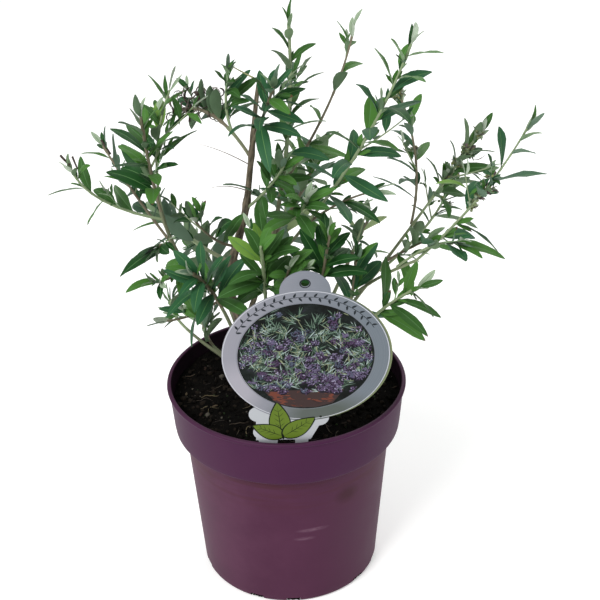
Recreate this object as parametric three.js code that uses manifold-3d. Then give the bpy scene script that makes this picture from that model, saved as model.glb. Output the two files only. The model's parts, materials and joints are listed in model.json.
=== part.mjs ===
// A young butterfly bush in a purple nursery pot, with a round picture tag stuck in at the rim.
//
// Millimetres, +Z up. The origin is the centre of the flat pad under the pot, and the tag faces
// -Y. The bush is a trunk, boughs that are bare limbs, and foliage masses: each mass is one stem
// with alternate leaves, a tuft at its tip and sometimes a side twig, placed by a seeded rule.

import * as THREE from "three";
import { mergeVertices } from "three/addons/utils/BufferGeometryUtils.js";
import Module from "manifold-3d";

const wasm = await Module();
wasm.setup();

const { degToRad, lerp, clamp } = THREE.MathUtils;

// ---------------------------------------------------------------- driving dimensions

const CLEAR = 0.3; // gap between solids that touch

const POT = {
  height: 153,
  rimRadius: 85, // outside of the lip
  lipHeight: 3,
  lipProud: 1.2,
  lipWidth: 2.2, // from its outer edge to the end of its flat top
  lipEdge: 0.8, // cut off its sharp edges
  collarHeight: 36, // the wide band under the rim
  collarFootRadius: 80.8,
  collarEdge: 2, // cut off the collar's foot
  shoulderRadius: 74, // wall just under the collar
  shoulderDrop: 2.7, // the inside turns outwards this far under the collar's foot
  wallFootRadius: 64.8, // wall where it would meet the ground
  cornerRadius: 3, // the wall's round bottom corner
  wall: 1.8,
  baseLift: 3, // the base plate stands this far off the ground
  footRingWidth: 5.5,
  footSlope: 1.5, // the foot ring and the pad are this much wider at the base plate
  padRadius: 20, // flat centre pad that stands on the ground
  segments: 44, // round the pot and the soil
  notchPairs: 5, // drain notches through the foot ring, in pairs
  notchWidth: 10,
  notchHeight: 4,
  notchSpread: 24, // degrees between the two notches of a pair
  notchTurn: -11, // degrees from the front to the middle of the first pair
  notchDepth: 12.5, // enough to go through the ring and the round corner
  drainHoles: 6,
  drainHoleRadius: 4,
  drainHoleCircle: 38,
};

const SMALL_ROUND = 12; // segments of a small round shape
const THROUGH = 20; // length of a cutter that goes right through a plate

const SOIL = {
  top: 143,
  flatRadius: 60,
  edgeDrop: 2.5, // the soil sinks this much towards the wall
  cornerCut: 4, // cut off its lower edge
  stepLift: 1, // its step lies this much above the pot's
};

const TAG = {
  lean: 9, // degrees forward from upright
  footY: -77, // where its back face meets the soil's surface
  thickness: 0.8,
  centreX: 12.5,
  discRadius: 52.6,
  discHeight: 81.4, // of the disc's centre above the soil, along the tag
  discSegments: 52,
  tabRadius: 15.5, // round hanging tab on top
  tabHeight: 132.8,
  tabSegments: 24,
  holeRadius: 2.6,
  holeHeight: 139.3,
  neck: [[-21, 11], [15, 11], [21, 24], [25, 40], [-20, 42]], // foot panel under the disc
  lobes: [[-18.5, 34, 6.5], [-16.5, 18, 6.2], [20, 30, 7]], // x, height and radius of each
  prongs: [[-13, 13], [9, 9]], // x of its middle, width at the top
  prongTop: 12,
  prongDepth: 20,
  prongTipWidth: 4,
  slotRoom: 0.35, // round each prong in the soil
};

const TRUNK = {
  path: [
    [-18, 14, 143.3], [-30, 13, 190], [-38.5, 12, 217], [-35, 11, 240],
    [-25, 10, 277], [-20, 8.5, 312], [-15, 7, 355], [-12, 6, 374],
  ],
  footRadius: 4.6,
  tipRadius: 1.1,
  taper: 1.15, // how fast it thins above the foot
  flare: 2.4, // extra radius at the soil
  flareShare: 0.06, // of its length
  sides: 10,
  steps: 18,
};

const LEAF = {
  widestAt: 0.45, // of its length
  halfWidth: 0.12, // of its length
  keel: 0.03, // of its length: the depth of its midrib
  sunk: 0.3, // how far its root lies past the stem's axis
  faces: { stem: 0.3, up: 0.45, out: 0.75 }, // what its upper side turns to
  leastFace: 0.15, // a leaf whose upper side has no clear way to turn gets a side of its own
  reach: 0.98, // straight reach of its tip, of its length
};

// How the leaves stand along a stem. A pair of numbers is a range.
const RULE = {
  turn: degToRad(137.5), // from one leaf to the next round the stem
  turnJitter: 0.35,
  stagger: [0.3, 0.7], // where in its share of the stem a leaf stands
  spreadFoot: degToRad(72), // angle from the stem, for the lowest leaf
  spreadTip: degToRad(36),
  spreadJitter: 0.24,
  size: [0.82, 1.12],
  shrink: 0.35, // how much shorter the last leaf is
  droop: 0.26,
  twist: 0.5,
  firstOnBough: 0.06, // share of the shoot left bare past a bough
  firstOnLimb: 0.16, // the same where the mass springs straight from a limb
  last: 0.97,
  tries: 5, // places tried before a leaf is left out
  stalkFree: 3, // length next to its own stem that isn't tested
  rootFree: 1, // length next to its stem that others needn't keep off
  lowest: 158, // nothing reaches below this, to stay off the rim
  crownCentre: new THREE.Vector3(5, 20, 215),
};

// The small upright leaves at the tip of a stem.
const TUFT = {
  leaves: 3,
  size: 0.72, // of the leaf length
  first: 0.78, // of that, for the innermost leaf
  step: 0.1, // how much smaller each next one is
  range: [0.8, 1.1],
  spread: degToRad(10),
  spreadStep: degToRad(8),
  turnJitter: 0.3,
  droop: 0.03,
  twist: 0.4,
  inset: 0.5, // the innermost leaf's root from the tip
  pitch: 2, // from one root to the next
};

// The side twigs of a mass.
const TWIG = {
  share: 0.8, // of the leafy stretch carries twigs
  last: 0.92,
  stagger: [0.4, 0.8],
  spread: [0.7, 1],
  length: [20, 36],
  lift: 0.15,
  tipLift: 0.12,
  steps: 3,
  leaves: 3,
  leafSize: 0.62, // of the mass's leaf length
  leafy: [0.25, 0.95], // the stretch with leaves
  tuftLeaves: 2,
  tuftSize: 0.5,
};

// The space round the tag that no leaf enters.
const TAG_SPACE = { left: -52, right: 76, back: -58, top: 292 };

// Each shoot is a curve from its foot, bent towards an elbow, to its tip. It springs from the
// soil at `foot`, or from another shoot at the share `at` of that one's length. The share `bare`
// of it is a bough, and the rest is the stem of a foliage mass with `leaves` leaves along it,
// `leaf` long, and `twigs` side twigs. `radii` are those of its foot and tip, and `seed` picks how
// the leaves are scattered.
const SHOOTS = [
  { name: "left", from: "trunk", at: 0.335, elbow: [-80, 8, 216], tip: [-87, -12, 355],
    bare: 0.7, radii: [1.9, 0.8], leaves: 13, leaf: 36, twigs: 1, seed: 83 },
  { name: "left_low", from: "left", at: 0.67, elbow: [-124, -14, 296], tip: [-130, -30, 326],
    bare: 0, radii: [1, 0.6], leaves: 6, leaf: 36, twigs: 0, seed: 27 },
  { name: "left_back", from: "left", at: 0.55, elbow: [-102, 16, 294], tip: [-121, 46, 313],
    bare: 0, radii: [1, 0.6], leaves: 9, leaf: 32, twigs: 1, seed: 96 },
  { name: "left_high", from: "left", at: 0.68, elbow: [-87, 14, 321], tip: [-71, 22, 360],
    bare: 0, radii: [1, 0.6], leaves: 11, leaf: 34, twigs: 1, seed: 193 },
  { name: "left_inner", from: "left", at: 0.36, elbow: [-80, -16, 240], tip: [-84, -28, 246],
    bare: 0, radii: [0.9, 0.6], leaves: 3, leaf: 38, twigs: 0, seed: 39 },
  { name: "rear_left", from: "trunk", at: 0.42, elbow: [-65, 39, 241], tip: [-88, 66, 253],
    bare: 0.35, radii: [1.5, 0.8], leaves: 17, leaf: 36, twigs: 1, seed: 62 },
  { name: "fork_left", from: "trunk", at: 0.74, elbow: [-43, 25, 351], tip: [-65, 34, 342],
    bare: 0.3, radii: [1.2, 0.7], leaves: 17, leaf: 28, twigs: 1, seed: 83 },
  { name: "fork_high", from: "fork_left", at: 0.27, elbow: [-37, 18, 351], tip: [-32, 12, 373],
    bare: 0, radii: [0.9, 0.6], leaves: 10, leaf: 30, twigs: 0, seed: 6 },
  { name: "trunk_top", from: "trunk", at: 0.78, elbow: [-10, -7, 352], tip: [-3, -20, 376],
    bare: 0, radii: [1, 0.6], leaves: 19, leaf: 34, twigs: 1, seed: 59 },
  { name: "centre", from: "trunk", at: 0.16, elbow: [11, 9, 298], tip: [7, 4, 408],
    bare: 0.52, radii: [2, 0.8], leaves: 11, leaf: 34, twigs: 1, seed: 58 },
  { name: "centre_right", from: "centre", at: 0.5, elbow: [38, 26, 347], tip: [49, 44, 388],
    bare: 0, radii: [1, 0.6], leaves: 5, leaf: 32, twigs: 0, seed: 61 },
  { name: "right_tall", from: "centre", at: 0.2, elbow: [52, -17, 318], tip: [78, -44, 408],
    bare: 0.3, radii: [1.15, 0.6], leaves: 21, leaf: 36, twigs: 1, seed: 23 },
  { name: "right_inner", from: "right_tall", at: 0.25, elbow: [41, -6, 294], tip: [60, -14, 301],
    bare: 0, radii: [0.9, 0.6], leaves: 1, leaf: 38, twigs: 0, seed: 46 },
  { name: "right", from: "soil", foot: [2, 8], elbow: [72, 22, 229], tip: [134, 38, 318],
    bare: 0.7, radii: [1.5, 0.7], leaves: 14, leaf: 34, twigs: 1, seed: 22 },
  { name: "right_up", from: "right", at: 0.66, elbow: [100, 47, 294], tip: [84, 62, 335],
    bare: 0, radii: [1, 0.6], leaves: 8, leaf: 32, twigs: 1, seed: 94 },
  { name: "right_back", from: "right", at: 0.48, elbow: [112, 37, 255], tip: [122, 70, 272],
    bare: 0, radii: [1, 0.6], leaves: 9, leaf: 32, twigs: 1, seed: 41 },
  { name: "right_mid", from: "right", at: 0.52, elbow: [84, 16, 243], tip: [98, 8, 254],
    bare: 0, radii: [1, 0.6], leaves: 4, leaf: 38, twigs: 0, seed: 76 },
  { name: "right_low", from: "soil", foot: [10, -4], elbow: [16, -13, 220], tip: [87, -24, 255],
    bare: 1, radii: [1.4, 0.95] },
  { name: "right_far", from: "right_low", at: 1, elbow: [129, -35, 302], tip: [150, -44, 354],
    bare: 0, radii: [0.95, 0.5], leaves: 8, leaf: 38, twigs: 1, seed: 82 },
  { name: "young", from: "soil", foot: [14, -24], elbow: [19, -31, 214], tip: [30, -40, 284],
    bare: 0.66, radii: [1.2, 0.6], leaves: 16, leaf: 30, twigs: 0, seed: 96 },
  { name: "front_right", from: "soil", foot: [30, -18], elbow: [36, -34, 213], tip: [86, -58, 254],
    bare: 0.62, radii: [1.5, 0.7], leaves: 6, leaf: 38, twigs: 0, seed: 47 },
  { name: "low_right", from: "front_right", at: 0.42, elbow: [45, -30, 238], tip: [47, -34, 263],
    bare: 0, radii: [0.9, 0.6], leaves: 11, leaf: 36, twigs: 0, seed: 119 },
  { name: "low_left", from: "soil", foot: [-34, 28], elbow: [-91, 46, 177], tip: [-82, 50, 190],
    bare: 0.45, radii: [1.4, 0.7], leaves: 2, leaf: 30, twigs: 0, seed: 88 },
  { name: "low_rear", from: "soil", foot: [-36, 38], elbow: [-66, 48, 150], tip: [-60, 66, 176],
    bare: 0.4, radii: [1.2, 0.7], leaves: 15, leaf: 30, twigs: 0, seed: 58 },
  { name: "rear_centre", from: "soil", foot: [-6, 22], elbow: [6, 60, 240], tip: [2, 128, 255],
    bare: 0.45, radii: [1.8, 0.8], leaves: 27, leaf: 36, twigs: 1, seed: 40 },
  { name: "rear_right", from: "soil", foot: [10, 24], elbow: [48, 60, 215], tip: [66, 112, 222],
    bare: 0.45, radii: [1.7, 0.8], leaves: 10, leaf: 36, twigs: 1, seed: 32 },
  { name: "rear_far_left", from: "soil", foot: [-26, 30], elbow: [-48, 66, 205],
    tip: [-66, 108, 212], bare: 0.45, radii: [1.7, 0.8], leaves: 19, leaf: 36, twigs: 1, seed: 71 },
  { name: "front_left", from: "soil", foot: [-24, 2], elbow: [-40, -22, 235], tip: [-58, -48, 262],
    bare: 0.55, radii: [1.6, 0.8], leaves: 22, leaf: 36, twigs: 1, seed: 81 },
  { name: "front_centre", from: "soil", foot: [-12, -6], elbow: [-12, -20, 245],
    tip: [-14, -58, 285], bare: 0.48, radii: [1.6, 0.8], leaves: 22, leaf: 34, twigs: 1, seed: 87 },
  { name: "low_centre", from: "front_centre", at: 0.4, elbow: [-1, -30, 240], tip: [4, -42, 262],
    bare: 0, radii: [0.9, 0.6], leaves: 14, leaf: 34, twigs: 0, seed: 102 },
  { name: "centre_low", from: "centre", at: 0.12, elbow: [-2, -4, 222], tip: [12, -20, 250],
    bare: 0, radii: [0.9, 0.6], leaves: 14, leaf: 34, twigs: 0, seed: 22 },
  { name: "trunk_low", from: "trunk", at: 0.48, elbow: [-48, -4, 262], tip: [-58, -16, 286],
    bare: 0, radii: [1, 0.6], leaves: 4, leaf: 34, twigs: 1, seed: 58 },
  { name: "trunk_mid", from: "trunk", at: 0.6, elbow: [-8, -2, 298], tip: [2, -14, 320],
    bare: 0, radii: [1, 0.6], leaves: 15, leaf: 32, twigs: 1, seed: 51 },
  { name: "left_under", from: "trunk", at: 0.27, elbow: [-62, -8, 206], tip: [-80, -20, 212],
    bare: 0, radii: [1, 0.6], leaves: 1, leaf: 34, twigs: 1, seed: 109 },
  { name: "middle_front", from: "centre", at: 0.34, elbow: [10, -22, 285], tip: [16, -36, 306],
    bare: 0, radii: [1, 0.6], leaves: 15, leaf: 34, twigs: 1, seed: 4 },
  { name: "middle", from: "centre", at: 0.3, elbow: [24, 44, 290], tip: [28, 62, 300],
    bare: 0, radii: [1.1, 0.6], leaves: 20, leaf: 36, twigs: 1, seed: 14 },
  { name: "right_under", from: "right_low", at: 0.93, elbow: [99, -30, 274], tip: [109, -38, 274],
    bare: 0, radii: [0.9, 0.6], leaves: 7, leaf: 50, twigs: 0, seed: 150 },
  { name: "left_side", from: "left", at: 0.5, elbow: [-78, -6, 266], tip: [-82, -14, 265],
    bare: 0, radii: [0.9, 0.6], leaves: 5, leaf: 44, twigs: 0, seed: 237 },
];

const LIMB_SIDES = 6;
const STEM_SIDES = 3;
const LIMB_STEP = 20; // length of one straight piece of a bough
const STEM_STEP = 10;
const LEAST_STEPS = 3;
const TEST_PIECES = { trunk: 24, bough: 8, mass: 10 }; // straight pieces that stand for each

// ---------------------------------------------------------------- small helpers

const UP = new THREE.Vector3(0, 0, 1);
const EAST = new THREE.Vector3(1, 0, 0);

const STEEP = 0.9; // a direction with more Z than this is taken as upright
const TINY = 1e-9;
const MERGE = 1e-4; // points closer than this are one

const vec = (a) => new THREE.Vector3(...a);
const along = (p, d, k) => p.clone().addScaledVector(d, k);

// A unit vector square to a direction.
function across(direction) {
  const helper = Math.abs(direction.z) > STEEP ? EAST : UP;
  return direction.clone().cross(helper).normalize();
}

// The part of a vector that is square to a direction.
function squareTo(direction, v) {
  return v.clone().addScaledVector(direction, -v.dot(direction));
}

// A linear congruential generator: the same seed gives the same plant.
class Random {
  static MULTIPLIER = 1664525;
  static INCREMENT = 1013904223;
  static RANGE = 2 ** 32;
  static SEED_SCALE = 7919;
  static SEED_OFFSET = 12345;
  static WARM_UP = 3;

  constructor(seed) {
    this.state = (seed * Random.SEED_SCALE + Random.SEED_OFFSET) >>> 0;
    for (let i = 0; i < Random.WARM_UP; i++) this.next();
  }

  next() {
    this.state = (Math.imul(this.state, Random.MULTIPLIER) + Random.INCREMENT) >>> 0;
    return this.state / Random.RANGE;
  }

  between(low, high) {
    return low + (high - low) * this.next();
  }
}

// ---------------------------------------------------------------- solids

// A closed geometry through rings of points. Every ring has the same number of points, and they
// run anticlockwise about the way the rings go.
function loft(rings) {
  const count = rings[0].length;
  const positions = rings.flat().flatMap((p) => [p.x, p.y, p.z]);
  const faces = [];
  for (let i = 0; i + 1 < rings.length; i++) {
    for (let j = 0; j < count; j++) {
      const k = (j + 1) % count;
      const low = i * count;
      const high = low + count;
      faces.push(low + j, low + k, high + k, low + j, high + k, high + j);
    }
  }
  const last = (rings.length - 1) * count;
  for (let j = 1; j + 1 < count; j++) {
    faces.push(0, j + 1, j, last, last + j, last + j + 1);
  }
  const geometry = new THREE.BufferGeometry();
  geometry.setAttribute("position", new THREE.Float32BufferAttribute(positions, 3));
  geometry.setIndex(faces);
  return geometry;
}

function toSolid(geometry) {
  const bare = geometry.clone();
  bare.deleteAttribute("normal");
  bare.deleteAttribute("uv");
  const merged = mergeVertices(bare, MERGE);
  const index = merged.index.array;
  const faces = [];
  for (let i = 0; i < index.length; i += 3) {
    const [a, b, c] = index.slice(i, i + 3);
    if (a !== b && b !== c && c !== a) faces.push(a, b, c);
  }
  return new wasm.Manifold(new wasm.Mesh({
    numProp: 3,
    vertProperties: new Float32Array(merged.attributes.position.array),
    triVerts: new Uint32Array(faces),
  }));
}

function toGeometry(solid) {
  const mesh = solid.getMesh();
  const geometry = new THREE.BufferGeometry();
  geometry.setAttribute("position", new THREE.BufferAttribute(mesh.vertProperties, 3));
  geometry.setIndex(new THREE.BufferAttribute(mesh.triVerts, 1));
  geometry.computeVertexNormals();
  return geometry;
}

function join(geometries) {
  return geometries.map(toSolid).reduce((whole, piece) => whole.add(piece));
}

function cut(geometry, cutters) {
  return cutters.reduce((whole, cutter) => whole.subtract(toSolid(cutter)), toSolid(geometry));
}

// Points of a regular ring round a centre, anticlockwise about u x v.
function ring(centre, u, v, radius, sides) {
  const points = [];
  for (let i = 0; i < sides; i++) {
    const angle = (2 * Math.PI * i) / sides;
    const arm = u.clone().multiplyScalar(Math.cos(angle)).addScaledVector(v, Math.sin(angle));
    points.push(along(centre, arm, radius));
  }
  return points;
}

// A tapering limb along a stretch of a curve. Its first end lies square to `footNormal`.
function limb(curve, from, to, radiusAt, sides, steps, footNormal) {
  const rings = [];
  let u = across(footNormal);
  for (let i = 0; i <= steps; i++) {
    const t = lerp(from, to, i / steps);
    const direction = i === 0 ? footNormal : curve.getTangent(t);
    u = squareTo(direction, u).normalize();
    const v = direction.clone().cross(u);
    rings.push(ring(curve.getPoint(t), u, v, radiusAt(t), sides));
  }
  return loft(rings);
}

function lathe(profile, segments) {
  const points = profile.map(([r, z]) => new THREE.Vector2(r, z));
  return new THREE.LatheGeometry(points, segments).rotateX(Math.PI / 2);
}

// ---------------------------------------------------------------- pot and soil

const collarFootZ = POT.height - POT.collarHeight;
const wallSlope = (POT.shoulderRadius - POT.wallFootRadius) / collarFootZ;
const wallRadius = (z) => POT.wallFootRadius + wallSlope * z;
const collarSlope = (POT.rimRadius - POT.lipProud - POT.collarFootRadius) / POT.collarHeight;
const collarRadius = (z) => POT.collarFootRadius + collarSlope * (z - collarFootZ);
const baseTop = POT.baseLift + POT.wall;
const footRadius = POT.wallFootRadius - POT.cornerRadius;
const shoulderInner = collarFootZ - POT.shoulderDrop;

function pot() {
  const lipFootZ = POT.height - POT.lipHeight;
  const corner = POT.cornerRadius;
  const cornerStep = corner * (1 - Math.SQRT1_2);
  const ringInner = footRadius - POT.footRingWidth;
  const collarEdgeZ = collarFootZ + POT.collarEdge;
  const profile = [
    [0, 0], [POT.padRadius, 0], [POT.padRadius + POT.footSlope, POT.baseLift],
    [ringInner - POT.footSlope, POT.baseLift], [ringInner, 0], [footRadius, 0],
    [wallRadius(corner) - cornerStep, cornerStep], [wallRadius(corner), corner],
    [POT.shoulderRadius, collarFootZ],
    [POT.collarFootRadius - POT.collarEdge, collarFootZ], [POT.collarFootRadius, collarEdgeZ],
    [collarRadius(lipFootZ), lipFootZ], [POT.rimRadius, lipFootZ + POT.lipEdge],
    [POT.rimRadius, POT.height - POT.lipEdge], [POT.rimRadius - POT.lipEdge, POT.height],
    [POT.rimRadius - POT.lipWidth, POT.height], [collarRadius(lipFootZ) - POT.wall, lipFootZ],
    [collarRadius(collarEdgeZ) - POT.wall, collarEdgeZ],
    [wallRadius(shoulderInner) - POT.wall, shoulderInner],
    [wallRadius(baseTop + corner) - POT.wall, baseTop + corner],
    [wallRadius(baseTop) - POT.wall - corner, baseTop], [0, baseTop],
  ];
  return toGeometry(cut(lathe(profile, POT.segments), [...notches(), ...drainHoles()]));
}

// Each notch goes through the foot ring from the base's hollow to the outside.
function notches() {
  const cutters = [];
  for (let pair = 0; pair < POT.notchPairs; pair++) {
    for (const half of [-0.5, 0.5]) {
      const degrees = POT.notchTurn + (360 * pair) / POT.notchPairs + half * POT.notchSpread;
      const cutter = new THREE.BoxGeometry(POT.notchWidth, POT.notchDepth,
        2 * POT.notchHeight);
      cutter.translate(0, -(footRadius - POT.footRingWidth / 2), 0);
      cutters.push(cutter.rotateZ(degToRad(degrees)));
    }
  }
  return cutters;
}

function drainHoles() {
  const cutters = [];
  for (let i = 0; i < POT.drainHoles; i++) {
    const radius = POT.drainHoleRadius;
    const hole = new THREE.CylinderGeometry(radius, radius, THROUGH, SMALL_ROUND);
    hole.rotateX(Math.PI / 2).translate(POT.drainHoleCircle, 0, 0);
    cutters.push(hole.rotateZ((2 * Math.PI * i) / POT.drainHoles));
  }
  return cutters;
}

function soil() {
  const inset = POT.wall + CLEAR;
  const { cornerCut, stepLift } = SOIL;
  const stepTop = collarFootZ + POT.collarEdge + stepLift;
  const edge = SOIL.top - SOIL.edgeDrop;
  const profile = [
    [0, baseTop + CLEAR], [wallRadius(baseTop) - inset - cornerCut, baseTop + CLEAR],
    [wallRadius(baseTop + cornerCut) - inset, baseTop + cornerCut],
    [wallRadius(shoulderInner) - inset, shoulderInner + stepLift],
    [collarRadius(stepTop) - inset, stepTop],
    [collarRadius(edge) - inset, edge], [SOIL.flatRadius, SOIL.top], [0, SOIL.top],
  ];
  const slots = TAG.prongs.map(([x, width]) => placeTag(prong(x, width, TAG.slotRoom)));
  return toGeometry(cut(lathe(profile, POT.segments), slots));
}

// ---------------------------------------------------------------- tag

// The tag is drawn flat, with its height above the soil as Y, then stood up and leant forward.
function placeTag(geometry) {
  geometry.rotateX(Math.PI / 2 + degToRad(TAG.lean));
  return geometry.translate(0, TAG.footY, SOIL.top);
}

// `grow` makes it thicker on both sides.
function plate(outline, grow = 0) {
  const shape = new THREE.Shape(outline.map(([x, y]) => new THREE.Vector2(x, y)));
  const depth = TAG.thickness + 2 * grow;
  const geometry = new THREE.ExtrudeGeometry(shape, { depth, bevelEnabled: false });
  return geometry.translate(0, 0, -grow);
}

function roundPlate(x, y, radius, segments, grow = 0) {
  const outline = [];
  for (let i = 0; i < segments; i++) {
    const angle = (2 * Math.PI * i) / segments;
    outline.push([x + radius * Math.cos(angle), y + radius * Math.sin(angle)]);
  }
  return plate(outline, grow);
}

function prong(x, width, grow = 0) {
  const half = width / 2 + grow;
  const tipHalf = TAG.prongTipWidth / 2 + grow;
  const low = -TAG.prongDepth - grow;
  return plate([[x - tipHalf, low], [x + tipHalf, low], [x + half, TAG.prongTop],
    [x - half, TAG.prongTop]], grow);
}

function tag() {
  const lobes = TAG.lobes.map(([x, y, radius]) => roundPlate(x, y, radius, SMALL_ROUND));
  const prongs = TAG.prongs.map(([x, width]) => prong(x, width));
  const whole = join([
    roundPlate(TAG.centreX, TAG.discHeight, TAG.discRadius, TAG.discSegments),
    roundPlate(TAG.centreX, TAG.tabHeight, TAG.tabRadius, TAG.tabSegments),
    plate(TAG.neck), ...lobes, ...prongs,
  ]);
  const { centreX, holeHeight, holeRadius } = TAG;
  const hole = roundPlate(centreX, holeHeight, holeRadius, SMALL_ROUND, TAG.thickness);
  return placeTag(toGeometry(whole.subtract(toSolid(hole))));
}

// ---------------------------------------------------------------- limbs

class Trunk {
  constructor() {
    this.curve = new THREE.CatmullRomCurve3(TRUNK.path.map(vec), false, "catmullrom", 0.5);
  }

  radiusAt(t) {
    const taper = (1 - t) ** TRUNK.taper;
    const flare = Math.max(0, 1 - t / TRUNK.flareShare) ** 2;
    return TRUNK.tipRadius + (TRUNK.footRadius - TRUNK.tipRadius) * taper + TRUNK.flare * flare;
  }

  geometry() {
    const radiusAt = (t) => this.radiusAt(t);
    return limb(this.curve, 0, 1, radiusAt, TRUNK.sides, TRUNK.steps, UP);
  }
}

class Shoot {
  constructor(spec, parent) {
    Object.assign(this, spec);
    const elbow = vec(spec.elbow);
    let foot;
    if (!parent) {
      foot = new THREE.Vector3(...spec.foot, SOIL.top + CLEAR);
      this.footNormal = UP;
    } else if (spec.at === 1) {
      this.footNormal = parent.curve.getTangent(1);
      foot = along(parent.curve.getPoint(1), this.footNormal, CLEAR);
    } else {
      foot = flankOf(parent, spec.at, elbow, spec.radii[0]);
    }
    this.curve = new THREE.QuadraticBezierCurve3(foot, elbow, vec(spec.tip));
    this.footNormal ??= this.curve.getTangent(0);
    this.length = this.curve.getLength();
  }

  radiusAt(t) {
    return lerp(this.radii[0], this.radii[1], t);
  }

  bough() {
    const steps = Math.max(LEAST_STEPS, Math.round((this.length * this.bare) / LIMB_STEP));
    const radiusAt = (t) => this.radiusAt(t);
    return limb(this.curve, 0, this.bare, radiusAt, LIMB_SIDES, steps, this.footNormal);
  }

  stem() {
    const start = this.bare > 0 ? this.bare + CLEAR / this.length : 0;
    const steps = Math.max(LEAST_STEPS, Math.round((this.length * (1 - this.bare)) / STEM_STEP));
    const normal = this.bare > 0 ? this.curve.getTangent(start) : this.footNormal;
    const radiusAt = (t) => this.radiusAt(t);
    return limb(this.curve, start, 1, radiusAt, STEM_SIDES, steps, normal);
  }
}

// Where a shoot's foot sits beside its parent, just clear of the parent's surface.
function flankOf(parent, at, elbow, radius) {
  const point = parent.curve.getPoint(at);
  const direction = parent.curve.getTangent(at);
  const reach = elbow.clone().sub(point).normalize();
  const outward = squareTo(direction, reach).normalize();
  const lean = Math.abs(reach.dot(direction));
  return along(point, outward, parent.radiusAt(at) + CLEAR + radius * lean);
}

// ---------------------------------------------------------------- clearance

// Shortest distance between the straight lines from p to q and from a to b.
function distance(p, q, a, b) {
  const d1 = q.clone().sub(p);
  const d2 = b.clone().sub(a);
  const r = p.clone().sub(a);
  const [len1, len2, dot] = [d1.dot(d1), d2.dot(d2), d1.dot(d2)];
  const [c, f] = [d1.dot(r), d2.dot(r)];
  const spread = len1 * len2 - dot * dot;
  let s = spread > TINY ? clamp((dot * f - c * len2) / spread, 0, 1) : 0;
  const t = (dot * s + f) / len2;
  if (t < 0) s = clamp(-c / len1, 0, 1);
  if (t > 1) s = clamp((dot - c) / len1, 0, 1);
  return along(p, d1, s).distanceTo(along(a, d2, clamp(t, 0, 1)));
}

// The straight pieces that stand for a stretch of a limb when room is tested.
function pieces(owner, member, from, to, count) {
  const list = [];
  for (let i = 0; i < count; i++) {
    const t0 = lerp(from, to, i / count);
    const t1 = lerp(from, to, (i + 1) / count);
    const [a, b] = [member.curve.getPoint(t0), member.curve.getPoint(t1)];
    list.push({ owner, a, b, radius: member.radiusAt((t0 + t1) / 2) });
  }
  return list;
}

function leafPieces(owner, { root, direction, middle, tip }, radius) {
  return [
    { owner, a: along(root, direction, RULE.rootFree), b: middle, radius },
    { owner, a: middle, b: tip, radius },
  ];
}

function twigPieces(owner, curve, radius) {
  const half = curve.getPoint(0.5);
  return [{ owner, a: curve.v0, b: half, radius }, { owner, a: half, b: curve.v2, radius }];
}

function isClear(runs, radius, obstacles) {
  return runs.every(([p, q]) => obstacles.every(
    (o) => distance(p, q, o.a, o.b) >= radius + o.radius + CLEAR));
}

function inSpace(point) {
  const nearTag = point.y < TAG_SPACE.back && point.z < TAG_SPACE.top
    && point.x > TAG_SPACE.left && point.x < TAG_SPACE.right;
  return point.z >= RULE.lowest && !nearTag;
}

// ---------------------------------------------------------------- foliage

class Leaf {
  constructor(root, stemDirection, direction, length, droop, twist) {
    this.root = root;
    this.direction = direction;
    this.halfWidth = LEAF.halfWidth * length;
    this.keel = LEAF.keel * length;
    this.middle = along(root, direction, LEAF.widestAt * length);
    this.tip = along(root, direction, LEAF.reach * length).addScaledVector(UP, -droop * length);
    const outward = this.middle.clone().sub(RULE.crownCentre).normalize();
    let face = new THREE.Vector3();
    face.addScaledVector(stemDirection, LEAF.faces.stem);
    face.addScaledVector(UP, LEAF.faces.up).addScaledVector(outward, LEAF.faces.out);
    face = squareTo(direction, face);
    face = face.length() < LEAF.leastFace ? across(direction) : face.normalize();
    const side = face.clone().cross(direction);
    this.side = side.multiplyScalar(Math.cos(twist)).addScaledVector(face, Math.sin(twist));
  }

  geometry() {
    const face = this.direction.clone().cross(this.side);
    const root = along(this.root, this.direction, -LEAF.sunk);
    const left = along(this.middle, this.side, this.halfWidth);
    const right = along(this.middle, this.side, -this.halfWidth);
    const rib = along(this.middle, face, -this.keel);
    return loft([[root, root, root], [left, right, rib], [this.tip, this.tip, this.tip]]);
  }
}

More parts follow.
